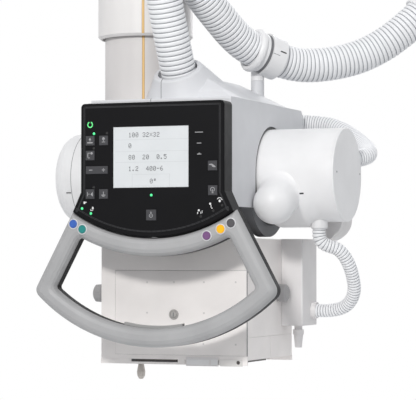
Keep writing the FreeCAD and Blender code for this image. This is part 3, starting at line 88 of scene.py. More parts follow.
PHOTO_WIDTH, FOCAL_PIXELS, SENSOR_WIDTH = 416, 2050, 36
heading, pitch = math.radians(21.412), math.radians(1.73)
camera = bpy.data.objects.new("camera", bpy.data.cameras.new("camera"))
bpy.context.scene.collection.objects.link(camera)
bpy.context.scene.camera = camera
camera.data.sensor_width = SENSOR_WIDTH
camera.data.lens = FOCAL_PIXELS / PHOTO_WIDTH * SENSOR_WIDTH
camera.data.clip_end = 100
camera.location = (1.634, -3.820, -0.822)
ahead = Vector((-math.sin(heading) * math.cos(pitch), math.cos(heading) * math.cos(pitch), math.sin(pitch)))
camera.rotation_mode = "QUATERNION"
camera.rotation_quaternion = ahead.to_track_quat("-Z", "Y")

# Materials

CLOUD_SIZE, GLOSS_SIZE, GLOSS_SPREAD, GRAIN_HEIGHT = 14, 60, 0.12, 0.0004


def material(name, colour, roughness, metallic=0.0, mottle=0.04, grain=900, bump=0.06, streak=(1, 1, 1),
             specular=0.5):
    """A moulded or painted surface: faint colour mottling, uneven gloss and a fine grain."""
    mat = bpy.data.materials.new(name)
    mat.use_nodes = True
    tree = mat.node_tree
    shader = tree.nodes["Principled BSDF"]
    shader.inputs["Metallic"].default_value = metallic
    shader.inputs["Specular IOR Level"].default_value = specular
    place = tree.nodes.new("ShaderNodeTexCoord")
    scale = tree.nodes.new("ShaderNodeMapping")
    scale.inputs["Scale"].default_value = streak
    tree.links.new(place.outputs["Object"], scale.inputs["Vector"])

    def noise(size, detail):
        """The strength of a noise of this size and detail, on the surface's own coordinates."""
        node = tree.nodes.new("ShaderNodeTexNoise")
        node.inputs["Scale"].default_value = size
        node.inputs["Detail"].default_value = detail
        tree.links.new(scale.outputs["Vector"], node.inputs["Vector"])
        return node.outputs["Fac"]

    ramp = tree.nodes.new("ShaderNodeValToRGB")
    for stop, position, change in zip(ramp.color_ramp.elements, (0.3, 0.7), (-mottle, mottle)):
        stop.position = position
        stop.color = (*[min(1, max(0, c * (1 + change))) for c in colour], 1)
    tree.links.new(noise(CLOUD_SIZE, 4), ramp.inputs["Fac"])
    tree.links.new(ramp.outputs["Color"], shader.inputs["Base Color"])
    gloss = tree.nodes.new("ShaderNodeMapRange")
    gloss.inputs["To Min"].default_value = roughness * (1 - GLOSS_SPREAD)
    gloss.inputs["To Max"].default_value = min(1, roughness * (1 + GLOSS_SPREAD))
    tree.links.new(noise(GLOSS_SIZE, 3), gloss.inputs["Value"])
    tree.links.new(gloss.outputs["Result"], shader.inputs["Roughness"])
    relief = tree.nodes.new("ShaderNodeBump")
    relief.inputs["Strength"].default_value = bump
    relief.inputs["Distance"].default_value = GRAIN_HEIGHT
    tree.links.new(noise(grain, 2), relief.inputs["Height"])
    tree.links.new(relief.outputs["Normal"], shader.inputs["Normal"])
    return mat


def glow(name, colour, strength):
    """A surface that also gives off light of its own colour."""
    mat = material(name, colour, 0.4)
    shader = mat.node_tree.nodes["Principled BSDF"]
    shader.inputs["Emission Color"].default_value = (*colour, 1)
    shader.inputs["Emission Strength"].default_value = strength
    return mat


def linear(red, green, blue):
    """A colour as it should look on screen, 0 to 255, as the shader needs it."""
    return tuple(((c / 255 + 0.055) / 1.055) ** 2.4 if c > 10 else c / 255 / 12.92
                 for c in (red, green, blue))


grey_cover = material("grey_cover", linear(208, 209, 212), 0.5, bump=0.1)
column_white = material("column_white", linear(222, 220, 219), 0.38, streak=(1, 1, 0.2))
column_inner = material("column_inner", linear(207, 204, 203), 0.4, streak=(1, 1, 0.2))
cast_grey = material("cast_grey", linear(150, 152, 155), 0.7, mottle=0.1, grain=300, bump=0.3)
cast_dark = material("cast_dark", linear(132, 133, 136), 0.7, mottle=0.1, grain=300, bump=0.3, specular=0.2)
bearing_steel = material("bearing_steel", linear(190, 192, 195), 0.3, metallic=1.0, streak=(1, 1, 12))
# Dark guide plastic; also used as painted shade for the gaps between the arm's side walls and the tube
guide_plastic = material("guide_plastic", linear(62, 63, 65), 0.6)
white_plastic = material("white_plastic", linear(227, 227, 228), 0.42)
collimator_white = material("collimator_white", linear(236, 232, 230), 0.45)
side_grey = material("side_grey", linear(220, 218, 218), 0.5)
hose_grey = material("hose_grey", linear(232, 233, 235), 0.5, mottle=0.03)
# Darker grey for the hoses' grooves: painted shade where the grooves between the ribs fall dark
hose_groove_shade = material("hose_groove_shade", linear(168, 170, 174), 0.6, mottle=0.06)
black_plastic = material("black_plastic", linear(28, 28, 30), 0.55, mottle=0.12, bump=0.15, specular=0.2)
console_black = material("console_black", linear(16, 16, 18), 0.55, mottle=0.1, bump=0.08, specular=0.09)
handle_grey = material("handle_grey", linear(160, 160, 161), 0.5, mottle=0.07, grain=700, bump=0.3)
key_grey = material("key_grey", linear(62, 62, 65), 0.5, mottle=0.08, specular=0.25)
release_grey = material("release_grey", linear(158, 158, 157), 0.5)
knob_beige = material("knob_beige", linear(196, 190, 184), 0.4, mottle=0.06)
dial_grey = material("dial_grey", linear(172, 169, 167), 0.35, metallic=0.3)
knob_grey = material("knob_grey", linear(156, 155, 156), 0.45)
lever_dark = material("lever_dark", linear(62, 58, 57), 0.4, mottle=0.1)
rail_metal = material("rail_metal", linear(214, 212, 210), 0.35, metallic=0.4)
lead_grey = material("lead_grey", linear(120, 122, 126), 0.6, metallic=0.6, mottle=0.15)
mirror_film = material("mirror_film", linear(230, 232, 235), 0.05, metallic=1.0, bump=0.01)
gloss_black = material("gloss_black", linear(14, 14, 15), 0.25)
label_grey = material("label_grey", linear(150, 150, 152), 0.6)
screen_line = material("screen_line", linear(188, 191, 194), 0.5)
# Dark grey for joint lines and slots; also used as painted shade for the gap in the hose clamp
seam_dark_and_gap_shade = material("seam_dark_and_gap_shade", linear(108, 109, 112), 0.8)
screw_pale = material("screw_pale", linear(206, 203, 202), 0.45, metallic=0.2)
dark_hole = material("dark_hole", linear(40, 40, 42), 0.8)
seam_grey = material("seam_grey", linear(120, 121, 124), 0.8)
amber = material("amber", linear(222, 184, 120), 0.35)
amber_edge = material("amber_edge", linear(190, 152, 96), 0.4)
blue = material("blue", linear(47, 92, 173), 0.35)
teal = material("teal", linear(21, 126, 122), 0.35)
purple = material("purple", linear(109, 70, 117), 0.35)
yellow = material("yellow", linear(255, 181, 0), 0.35)
button_grey = material("button_grey", linear(74, 72, 75), 0.35)
ring_pale = material("ring_pale", linear(205, 205, 207), 0.4)
mark_white = material("mark_white", linear(214, 214, 214), 0.6)
mark_dark = material("mark_dark", linear(52, 54, 58), 0.6)
screen = glow("screen", linear(200, 203, 205), 0.08)
led_green = glow("led_green", linear(70, 205, 130), 0.8)
mark_green = glow("mark_green", linear(90, 200, 120), 0.5)

glass = bpy.data.materials.new("glass")
glass.use_nodes = True
glass_shader = glass.node_tree.nodes["Principled BSDF"]
glass_shader.inputs["Transmission Weight"].default_value = 1.0
glass_shader.inputs["Roughness"].default_value = 0.03
glass_shader.inputs["IOR"].default_value = 1.45
glass_noise = glass.node_tree.nodes.new("ShaderNodeTexNoise")
glass_noise.inputs["Scale"].default_value = 30
glass_ramp = glass.node_tree.nodes.new("ShaderNodeValToRGB")
glass_ramp.color_ramp.elements[0].color = (0.86, 0.88, 0.88, 1)
glass_ramp.color_ramp.elements[1].color = (0.93, 0.94, 0.94, 1)
glass.node_tree.links.new(glass_noise.outputs["Fac"], glass_ramp.inputs["Fac"])
glass.node_tree.links.new(glass_ramp.outputs["Color"], glass_shader.inputs["Base Color"])

# The CAD nodes' materials; the console's keys are left out and take key_grey
dress = {
    "ceiling_flange": column_white, "outer_column": column_white, "lower_guide_ring": guide_plastic,
    "inner_column": column_inner, "swivel_inner_race": bearing_steel, "arm_beam": cast_dark,
    "arm_cover_left": grey_cover, "arm_cover_right": grey_cover, "swivel_outer_race": bearing_steel,
    "hose_clamp": white_plastic, "hose_end_fittings": white_plastic, "console_shell": black_plastic,
    "console_face": console_black, "display_window": screen, "handle_front_shell": handle_grey,
    "handle_rear_shell": black_plastic, "release_bar": release_grey, "tube_housing": cast_grey,
    "tube_cover_right": white_plastic, "tube_cover_left": white_plastic, "tube_end_covers": white_plastic,
    "tube_rear_cover": side_grey, "tube_envelope": glass, "anode_rotor": bearing_steel,
    "collimator_lid": collimator_white, "collimator_housing": collimator_white,
    "collimator_base": collimator_white, "collimator_door": collimator_white, "exit_window": glass,
    "side_box": side_grey, "light_field_unit": mirror_film, "accessory_rail": rail_metal,
    "left_knob": knob_grey, "right_knob": knob_grey, "leaf_left": lead_grey, "leaf_right": lead_grey,
    "leaf_front": lead_grey, "leaf_rear": lead_grey, "lever_left": lever_dark, "lever_right": lever_dark,
    "drop_knob": knob_beige, "blue_button": blue, "teal_button": teal, "purple_button": purple,
    "yellow_button": yellow, "grey_button": button_grey,
    "service_hose_front": hose_grey, "service_hose_middle": hose_grey, "service_hose_side": hose_grey,
    "tube_supply_hose": hose_grey, "collimator_hose": hose_grey,
}

# Edges that turn by more than this, in degrees, stay sharp
SHARP_ANGLE, HANDLE_SHARP_ANGLE = 28, 62
for name, node in nodes.items():
    node.data.materials.clear()
    node.data.materials.append(dress.get(name, key_grey))
    node.data.shade_smooth()
    soft = name in ("handle_front_shell", "handle_rear_shell")
    node.data.set_sharp_from_angle(angle=math.radians(HANDLE_SHARP_ANGLE if soft else SHARP_ANGLE))

# Mesh helpers

TINY = 1e-6


def piece(name, bm, mat, body, smooth=SHARP_ANGLE):
    """Turns a built mesh into a visible piece that rides on a body, if one is named."""
    mesh = bpy.data.meshes.new(name)
    bmesh.ops.recalc_face_normals(bm, faces=bm.faces)
    bm.to_mesh(mesh)
    bm.free()
    thing = bpy.data.objects.new(name, mesh)
    bpy.context.scene.collection.objects.link(thing)
    mesh.materials.append(mat)
    mesh.shade_smooth()
    mesh.set_sharp_from_angle(angle=math.radians(smooth))
    if body:
        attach(thing, body)
    return thing


def prism(bm, near, far):
    """Adds the solid between two outlines of equally many points."""
    near = [bm.verts.new(spot) for spot in near]
    far = [bm.verts.new(spot) for spot in far]
    bm.faces.new(near)
    bm.faces.new(far[::-1])
    for k in range(len(near)):
        bm.faces.new((near[k], near[k - 1], far[k - 1], far[k]))


def ring(bm, centre, across, up, radius, sides):
    """Adds a circle of points about a centre, in the plane of two directions."""
    turns = [2 * math.pi * k / sides for k in range(sides)]
    return [bm.verts.new(centre + radius * (across * math.cos(t) + up * math.sin(t))) for t in turns]


def band(bm, first, second):
    """Joins two rings with faces; either may be a single point."""
    count = max(len(first), len(second))
    faces = []
    for k in range(count):
        n = (k + 1) % count
        corners = (first[k % len(first)], first[n % len(first)],
                   second[n % len(second)], second[k % len(second)])
        faces.append(bm.faces.new(list(dict.fromkeys(corners))))
    return faces


def smooth_line(name, route, steps):
    """Points along the smooth NURBS curve that a route's points control."""
    curve = bpy.data.curves.new(name, "CURVE")
    curve.dimensions = "3D"
    curve.resolution_u = steps
    spline = curve.splines.new("NURBS")
    spline.points.add(len(route) - 1)
    for spot, place in zip(spline.points, route):
        spot.co = (*place, 1)
    spline.order_u = 3
    spline.use_endpoint_u = True
    holder = bpy.data.objects.new(name, curve)
    mesh = bpy.data.meshes.new_from_object(holder)
    points = [v.co.copy() for v in mesh.vertices]
    bpy.data.objects.remove(holder)
    bpy.data.curves.remove(curve)
    bpy.data.meshes.remove(mesh)
    return points


def even(points, step):
    """The same line with points a fixed step apart."""
    out = [points[0].copy()]
    left = step
    for first, second in zip(points, points[1:]):
        span = (second - first).length
        here = 0.0
        while span - here >= left:
            here += left
            out.append(first.lerp(second, here / span))
            left = step
        left -= span - here
    return out


# How deep each ring of one rib lies, as a share of the groove's depth, and from where it counts as groove
# and takes the painted groove shade
RIB_PROFILE = (0, 0, 0.03, 0.14, 0.5, 1, 0.5, 0.14, 0.03, 0)
GROOVE_SHARE = 0.4
CURVE_STEPS = 48


def ribbed_hose(name, route, diameter, pitch, depth, sides):
    """A corrugated hose: broad rounded ribs with narrow grooves, whose faces take the second material, a
    darker grey that paints shade into the grooves.
    """
    steps = len(RIB_PROFILE)
    line = even(smooth_line(name + "_line", route, CURVE_STEPS), pitch / steps)
    last = len(line) - 1
    bm = bmesh.new()
    across = None
    rings = []
    for i, centre in enumerate(line):
        way = (line[min(i + 1, last)] - line[max(i - 1, 0)]).normalized()
        if across is None:
            across = way.orthogonal().normalized()
        across = (across - way * across.dot(way)).normalized()
        radius = diameter / 2 - depth * RIB_PROFILE[i % steps]
        rings.append(ring(bm, centre, across, way.cross(across), radius, sides))
    for i, (first, second) in enumerate(zip(rings, rings[1:])):
        # Groove faces take the darker material: painted shade in the grooves
        groove = min(RIB_PROFILE[i % steps], RIB_PROFILE[(i + 1) % steps]) > GROOVE_SHARE
        for face in band(bm, first, second):
            face.material_index = int(groove)
    bm.faces.new(rings[0][::-1])
    bm.faces.new(rings[-1])
    return bm


def studs(name, places, axis, profile, mat, body, sides=20):
    """Equal turned details in one piece, from a profile of (radius, distance) pairs in millimetres."""
    axis = Vector(axis).normalized()
    across = axis.orthogonal().normalized()
    up = axis.cross(across)
    bm = bmesh.new()
    for base in places:
        rings = [ring(bm, base + axis * (distance / 1000), across, up, radius / 1000, sides if radius else 1)
                 for radius, distance in profile]
        for first, second in zip(rings, rings[1:]):
            band(bm, first, second)
    return piece(name, bm, mat, body)


def plate(bm, outline, back, thick):
    """Adds a flat shape facing the front from (right, up) points in millimetres."""
    prism(bm, [at(x, back, z) for x, z in outline], [at(x, back + thick, z) for x, z in outline])


def oblong(x, z, width, height, corner=None, steps=5):
    """A rounded rectangle's outline about a centre."""
    corner = min(width, height) / 2 if corner is None else corner
    out = []
    for sx, sz, start in ((1, 1, 0), (-1, 1, 90), (-1, -1, 180), (1, -1, 270)):
        cx, cz = x + sx * (width / 2 - corner), z + sz * (height / 2 - corner)
        for k in range(steps + 1):
            turn = math.radians(start + 90 * k / steps)
            out.append((cx + corner * math.cos(turn), cz + corner * math.sin(turn)))
    return out


def oblongs(*measures):
    """Several rounded rectangles' outlines."""
    return [oblong(*sizes) for sizes in measures]


def box_outline(left, right, foot, top):
    """A plain rectangle's outline from its sides."""
    return [(left, foot), (right, foot), (right, top), (left, top)]


def arc_band(x, z, radius, width, start, end, steps=28):
    """The outline of a curved band about a centre, angles in degrees."""
    turns = [math.radians(start + (end - start) * k / steps) for k in range(steps + 1)]
    outer, inner = [[(x + r * math.cos(t), z + r * math.sin(t)) for t in turns]
                    for r in (radius + width / 2, radius - width / 2)]
    return outer + inner[::-1]


def line_plates(outline, width):
    """A closed line's band as separate outlines, one for each run."""
    out = []
    for (x0, z0), (x1, z1) in zip(outline, outline[1:] + outline[:1]):
        length = math.hypot(x1 - x0, z1 - z0)
        nx, nz = -(z1 - z0) / length * width / 2, (x1 - x0) / length * width / 2
        ex, ez = (x1 - x0) / length * width / 2, (z1 - z0) / length * width / 2
        out.append([(x0 - ex + nx, z0 - ez + nz), (x1 + ex + nx, z1 + ez + nz),
                    (x1 + ex - nx, z1 + ez - nz), (x0 - ex - nx, z0 - ez - nz)])
    return out


def marks(name, outlines, back, mat, body, thick=0.4):
    """Printed or moulded marks that stand a little proud of a front face."""
    bm = bmesh.new()
    for outline in outlines:
        plate(bm, outline, back, thick)
    return piece(name, bm, mat, body)


def seam(name, node, place, mat, body, width, proud, keep=None):
    """A joint line that follows a node's outside where an upright plane across the head cuts it."""
    normal = Vector((1, 0, 0))
    bm = bmesh.new()
    bm.from_mesh(nodes[node].data)
    geometry = bm.verts[:] + bm.edges[:] + bm.faces[:]
    cut = bmesh.ops.bisect_plane(bm, geom=geometry, plane_co=place, plane_no=normal, dist=1e-7)
    made = bmesh.new()
    for edge in cut["geom_cut"]:
        if not isinstance(edge, bmesh.types.BMEdge) or edge.calc_length() < TINY:
            continue
        sides = [f.normal for f in edge.link_faces if abs(f.normal.dot(normal)) < 0.95]
        first, second = [v.co for v in edge.verts]
        out = sum(sides, Vector()).normalized()
        if not sides or keep and not keep((first + second) / 2):
            continue
        run = (second - first).normalized() * 0.0002
        prism(made, *[[spot + normal * across * width / 2000 + out * up * proud / 1000
                       for across, up in ((-1, -1), (-1, 1), (1, 1), (1, -1))]
                      for spot in (first - run, second + run)])
    bm.free()
    return piece(name, made, mat, body)


# Hoses: each one's body, diameter and route; the two thin ones ride on no body

HOSE_BIG, HOSE_SUPPLY, HOSE_THIN = 70, 37, 27
collar_lean = Vector((-0.05920, -0.52899, 0.84656))
collar_rim = Vector((0, 133, 205))
clamp_centre = Vector((110, 348, 250))
clamp_way = Vector((0.62134, 0.73157, -0.28060))
supply_root = Vector((271.5, 366.8, 33.8))
hoses = {
    "service_hose_front": ("arm", HOSE_BIG, [
        collar_rim - 34 * collar_lean, collar_rim + 14 * collar_lean, (-10, 70, 377)]),
    "service_hose_middle": ("arm", HOSE_BIG, [
        clamp_centre - 24 * clamp_way, clamp_centre - 60 * clamp_way, (38, 222, 334), (10, 150, 396)]),
    "service_hose_side": ("arm", HOSE_BIG, [
        clamp_centre + 20 * clamp_way, clamp_centre + 64 * clamp_way, (208, 440, 235), (274, 492, 256),
        (345, 530, 306), (392, 562, 362)]),
    "tube_supply_hose": (None, HOSE_SUPPLY, [
        (96, 440, 120), (100, 486, 122), (142, 512, 120), (206, 508, 112), (262, 480, 80), (304, 436, 50),
        (294.95, 398.8, 39.1), supply_root]),
    "collimator_hose": (None, HOSE_THIN, [
        (250, 262, -100), (247, 262, -122), (258, 268, -139), (286, 284, -146), (301, 310, -184),
        (299, 346, -240), (256, 372, -274), (200, 372, -270)]),
}
for name, (body, diameter, route) in hoses.items():
    pitch, depth, sides = (0.0094, 0.0026, 64) if diameter == HOSE_BIG else (0.0062, 0.002, 44)
    bm = ribbed_hose(name, [at(*point) for point in route], diameter / 1000, pitch, depth, sides)
    hose = piece("ribbed_" + name, bm, hose_grey, body, smooth=80)
    # The second material is the painted groove shade
    hose.data.materials.append(hose_groove_shade)
    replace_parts(hose, name)
    if name == "tube_supply_hose":
        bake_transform(hose)
    if name == "collimator_hose":
        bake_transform(hose)

# Light strips in the columns' grooves, which lie 20 degrees right of the front

strip_turn = math.radians(20)
strip_out = Vector((math.sin(strip_turn), -math.cos(strip_turn), 0))
strip_side = Vector((math.cos(strip_turn), math.sin(strip_turn), 0))
STRIP_FLOOR, STRIP_CROWN = -1.55, 0.08
for name, radius, below_top, body in (("outer", 96, 0.062, "ceiling_mast"),
                                      ("inner", 82, 0.03, "inner_mast")):
    low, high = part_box(name + "_column")
    for part, half, lift, mat in (("edge", 2.62, -0.95, amber_edge), ("core", 1.5, -0.55, amber)):
        profile = ((-1, STRIP_FLOOR), (-1, lift), (-0.5, lift + STRIP_CROWN), (0.5, lift + STRIP_CROWN),
                   (1, lift), (1, STRIP_FLOOR))
        bm = bmesh.new()
        prism(bm, *[[strip_out * (radius + up) / 1000 + strip_side * across * half / 1000
                     + Vector((0, 0, z)) for across, up in profile]
                    for z in (low[2] + 0.004, high[2] - below_top)])
        piece(f"{name}_light_strip_{part}", bm, mat, body)

# Console: rim line, lights, symbols, labels and the display's content

RIM_RADIUS, RIM_TURN = 291, 32.8
rim = [(-141, 126.5), (-141, -41), (-157.5, -77)]
for k in range(33):
    turn = math.radians(-RIM_TURN + 2 * RIM_TURN * k / 32)
    rim.append((RIM_RADIUS * math.sin(turn), ARC_UP - RIM_RADIUS * math.cos(turn)))
rim += [(157.5, -77), (141, -41), (141, 126.5)]
marks("console_rim_line", line_plates(rim, 1.1), -0.12, dark_hole, "arm")
inner_rim = [(x * 0.985, z * 0.985) for x, z in rim]
marks("console_rim_highlight", line_plates(inner_rim, 0.6), -0.1, key_grey, "arm")
led_profile = [(0, 0.8), (2.6, 0.8), (2.6, -0.1), (2.0, -0.9), (0.9, -1.3), (0, -1.4)]
for name, x, z in (("status_led", -119.6, 74.8), ("centre_led", 0.3, -44.9),
                   ("left_brake_led", -144.6, -69.1), ("lower_brake_led", -125.9, -78.8)):
    studs(name, [at(x, 0, z)], (0, 1, 0), led_profile, led_green, "arm", 28)
studs("unlit_leds", [at(x, 0, z) for x, z in (
    (-92.2, 75.3), (-120, 46.7), (-120, -28.6), (101.5, -86.3), (126.8, -75.5), (144.7, -65.5))],
    (0, 1, 0), [(0, 0.8), (2.5, 0.8), (2.5, -0.05), (2.1, -0.3), (1.7, -0.1), (0, -0.2)], gloss_black, "arm")
marks("ready_ring", [arc_band(-127.8, 92, 4.9, 2.2, 125, 415)] + oblongs(
    (-130.8, 96.6, 3.4, 1.9), (-124.8, 96.6, 3.4, 1.9)), -0.15, mark_green, "arm")
marks("direction_symbols", oblongs(
    (-139.7, -58.0, 3.6, 5, 1.6), (-121.9, -68.6, 3.4, 5.2, 1.6), (-124.2, -73.2, 6.2, 1.0),
    (-126, -71.6, 1.2, 2.8), (97.6, -74.8, 4.2, 4.2), (101.9, -79.6, 1.4, 4.2), (95.2, -79.6, 1.4, 4.4),
    (104.4, -77.2, 1.2, 4.6), (120.6, -62.5, 3.8, 4.2), (122.4, -67.2, 1.4, 5.6), (124.1, -71, 3.2, 1.3),
    (139.8, -57.4, 4, 5, 1.8)) + [
    [(-138.2, -56), (-134, -56.8), (-137.9, -59)], arc_band(139.6, -57.0, 5.6, 1.2, 35, 150),
    [(143.4, -52.4), (146, -55.6), (142.4, -55.2)]], -0.15, mark_white, "arm")
marks("indicator_labels", oblongs(
    (97.9, 72.9, 16.6, 1.5), (98.2, 52.2, 9.6, 1.4), (98.4, 31.4, 9, 1.6), (98.4, 33.2, 3.4, 1.0)),
    -0.12, label_grey, "arm")

# Icons on the keys, as outlines about each key's own centre
key_marks = {
    "upper_left_key": (-127.4, 61.3, [
        [(-2.6, 1.2), (2.6, 1.2), (0, 6)], box_outline(-0.8, 0.8, -1.4, 1.6),
        box_outline(-5.6, 5.6, -5, -2.6)]),
    "upper_right_key": (-98.9, 61.3, oblongs((0, 3.4, 5.4, 5.4), (0, -3, 7, 1.2), (0, 0.2, 1.4, 4))),
    "turn_key": (-127.4, 32.8, oblongs(
        (-4.4, 0, 1.5, 10.5, 0.6), (-2.6, 4.6, 4.6, 1.5, 0.6), (-2.6, -4.6, 4.6, 1.5, 0.6),
        (3.4, 4.2, 5, 4.6))),
    "lower_left_key": (-127.4, -41.6, oblongs((-5, 0, 1.4, 8), (-1.9, 0, 2.2, 1.6)) + [
        [(1.4, -0.4), (6, -4.6), (6, 4)]]),
    "lower_right_key": (-98.9, -41.6, oblongs((0, 1.6, 1.4, 6), (0, -2.2, 8.6, 1.6), (0, -4.6, 5, 1))),
    "format_key": (125.6, 9.3, [
        [(-6.6, 3), (-1, 3.4), (6.4, -1.4), (6.4, -3.6), (0.4, -2.4), (-1.6, 0.8), (-6.6, 1.2)]]),
    "lamp_key": (126, -37.3, [arc_band(0, 1.6, 3.9, 1.1, -60, 240)] + oblongs(
        (0, -1.4, 1.3, 6.6), (0, -4.8, 3.8, 1.3))),
    "centre_key": (0.3, -82.8, [arc_band(0, -1.2, 3.3, 1.1, 0, 360)] + oblongs(
        (0, 4.2, 1.9, 4.6), (0, -1.2, 1.6, 1.6))),
    "rocker_key": (-113.2, 4.6, oblongs(
        (-12.6, 0, 7.4, 1.5, 0.6), (14.4, 0, 6.8, 1.5, 0.6), (14.4, 0, 1.5, 6.8, 0.6))),
}
for key, (x, z, outlines) in key_marks.items():
    marks(key + "_symbol", [[(x + u, z + v) for u, v in outline] for outline in outlines],
          -1.72, label_grey, key + "_body")

# The display's signs as rows of dots, from the top
digits = {
    "0": ("01110", "10001", "10011", "10101", "11001", "10001", "01110"),
    "1": ("00100", "01100", "00100", "00100", "00100", "00100", "01110"),
    "2": ("01110", "10001", "00001", "00110", "01000", "10000", "11111"),
    "3": ("01110", "10001", "00001", "00110", "00001", "10001", "01110"),
    "4": ("00010", "00110", "01010", "10010", "11111", "00010", "00010"),
    "5": ("11111", "10000", "11110", "00001", "00001", "10001", "01110"),
    "6": ("00110", "01000", "10000", "11110", "10001", "10001", "01110"),
    "8": ("01110", "10001", "10001", "01110", "10001", "10001", "01110"),
    "x": ("00000", "10001", "01010", "00100", "01010", "10001", "00000"),
    ".": ("00000", "00000", "00000", "00000", "00000", "01100", "01100"),
    "-": ("00000", "00000", "00000", "11111", "00000", "00000", "00000"),
    "o": ("01110", "01010", "01110", "00000", "00000", "00000", "00000"),
    " ": ("00000",) * 7,
}
SIGN_STEP, DOT_STEP, ROW_STEP, DOT_WIDTH, DOT_HEIGHT = 7.3, 1.12, 1.28, 1.0, 1.14
bm = bmesh.new()
for text, left, base in (("100 32x32", -47.4, 66.2), ("0", -47.4, 45.6), ("80  20  0.5", -47.4, 23.6),
                         ("1.2  400-6", -47.4, 1.6), ("0o", -3.0, -22.6)):
    for place, sign in enumerate(text):
        for line, dots in enumerate(digits[sign]):
            for column, dot in enumerate(dots):
                if dot == "1":
                    x = left + place * SIGN_STEP + column * DOT_STEP
                    z = base + (6 - line) * ROW_STEP
                    plate(bm, box_outline(x, x + DOT_WIDTH, z, z + DOT_HEIGHT), 1.06, 0.2)
piece("display_digits", bm, mark_dark, "arm")
marks("display_rules", oblongs(
    (0, 61.5, 150, 0.5), (0, 39, 150, 0.5), (0, 18.4, 150, 0.5), (-39.9, -17, 0.6, 24), (37, -17, 0.6, 24),
    (-1.4, -5, 77, 0.5)), 1.1, screen_line, "arm", 0.2)
marks("display_surround", line_plates(box_outline(-79.6, 76.6, -30.6, 86.6), 0.9), 0.9, gloss_black, "arm")

# Handle: pale rings round the buttons
BUTTON_LINE = 319.5
for name, turn in (("blue", -30.7), ("teal", -26.8), ("purple", 20.8), ("yellow", 26.3), ("grey", 30.5)):
    x = BUTTON_LINE * math.sin(math.radians(turn))
    z = ARC_UP - BUTTON_LINE * math.cos(math.radians(turn))
    studs(name + "_button_ring", [at(x, 0, z)], (0, 1, 0), [
        (8.3, 0.6), (8.3, -0.9), (8.9, -1.3), (9.9, -0.9), (10.3, 0.3), (8.3, 0.6)], ring_pale, "arm", 40)

# Arm: the joint between the two covers
seam("arm_cover_joint", "arm_cover_right", at(-19.9, 0, 0), seam_dark_and_gap_shade, "arm", 1.1, 0.2,
     keep=lambda spot: spot.z > at(0, 0, 60).z or spot.y < at(0, 60, 0).y)

# Arm: the corners that round off the side walls' cut-out to a circle round the tube
CUTOUT_RADIUS, CUTOUT_FRONT, CUTOUT_TOP, WALL_INSIDE, WALL_OUTSIDE = 99, 178.9, 96.1, 141, 145.98
outline = [(CUTOUT_FRONT, 0), (CUTOUT_FRONT, CUTOUT_TOP), (253.8, CUTOUT_TOP)]
for k in range(25):
    turn = math.radians(104.1 + 75.9 * k / 24)
    outline.append((TUBE_BACK + CUTOUT_RADIUS * math.cos(turn), CUTOUT_RADIUS * math.sin(turn)))
for name, side in (("left", -1), ("right", 1)):
    bm = bmesh.new()
    prism(bm, *[[at(side * right, back, up) for back, up in outline]
                for right in (WALL_INSIDE, WALL_OUTSIDE)])
    piece(f"{name}_cutout_corner", bm, grey_cover, "arm")

# Hose clamp: the cuff's rounded lip, a dark ring of painted shade in the gap behind it, the split line and
# its slot
clamp_middle = at(*clamp_centre)
studs("cuff_lip", [clamp_middle], clamp_way, [
    (35.4, -38), (38.5, -39.4), (42, -38.6), (44.6, -35.6), (45.6, -31.6), (44.8, -27.6), (42.4, -24.6),
    (40.2, -23.4), (35.4, -23.4)], white_plastic, "arm", 72)
# The gap behind the lip is a dark ring: painted shade
studs("cuff_gap_shade", [clamp_middle], clamp_way, [(35.4, -16), (40.3, -16), (40.3, -10.1), (35.4, -10.1)],
      seam_dark_and_gap_shade, "arm", 72)
clamp_side = Vector((clamp_way.y, -clamp_way.x, 0)).normalized()
clamp_up = clamp_way.cross(clamp_side)
CLAMP_SKIN = (43.5, 44.25)


def clamp_mark(name, turn, start, end, width, mat):
    """A flat mark along the clamp ring's outside."""
    turn = math.radians(turn)
    out = clamp_side * math.cos(turn) + clamp_up * math.sin(turn)
    around = clamp_up * math.cos(turn) - clamp_side * math.sin(turn)
    bm = bmesh.new()
    prism(bm, *[[clamp_middle + (clamp_way * a + around * b + out * radius) / 1000
                 for a, b in box_outline(start, end, -width / 2, width / 2)] for radius in CLAMP_SKIN])
    piece(name, bm, mat, "arm")


clamp_mark("clamp_split", 3, -10, 6, 1.0, seam_grey)
clamp_mark("clamp_slot", -9, 5, 19, 2.6, dark_hole)

# Dark rings of painted shade in the gap between the side walls and the tube
for name, side in (("left", -1), ("right", 1)):
    studs(name + "_tube_gap_shade", [at(side * 141.2, TUBE_BACK, 0)], (side, 0, 0),
          [(94.2, 0), (98.9, 0), (98.9, 3.4), (94.2, 3.4), (94.2, 0)], guide_plastic, "arm", 96)

# Right tube cover: one moulded skin with a shallow belly, and a dome that flares into it

COVER_LEFT, COVER_RIGHT, COVER_INSIDE, BELLY_DEPTH, BELLY_TURN = 139.6, 298.9, 89.1, 10.5, -88


def ease(part):
    """A soft step from 0 to 1 as the part goes from 0 to 1."""
    part = min(1, max(0, part))
    return part * part * (3 - 2 * part)


def cover_point(x, turn, out=0.0):
    """A point of the cover by its distance along the tube and its angle above the front, in degrees."""
    below = max(0, math.cos(math.radians(turn - BELLY_TURN))) ** 1.5
    radius = TUBE_RADIUS + out + BELLY_DEPTH * below * ease((x - 142) / 26) * ease((262 - x) / 34)
    return at(x, TUBE_BACK - radius * math.cos(math.radians(turn)), radius * math.sin(math.radians(turn)))


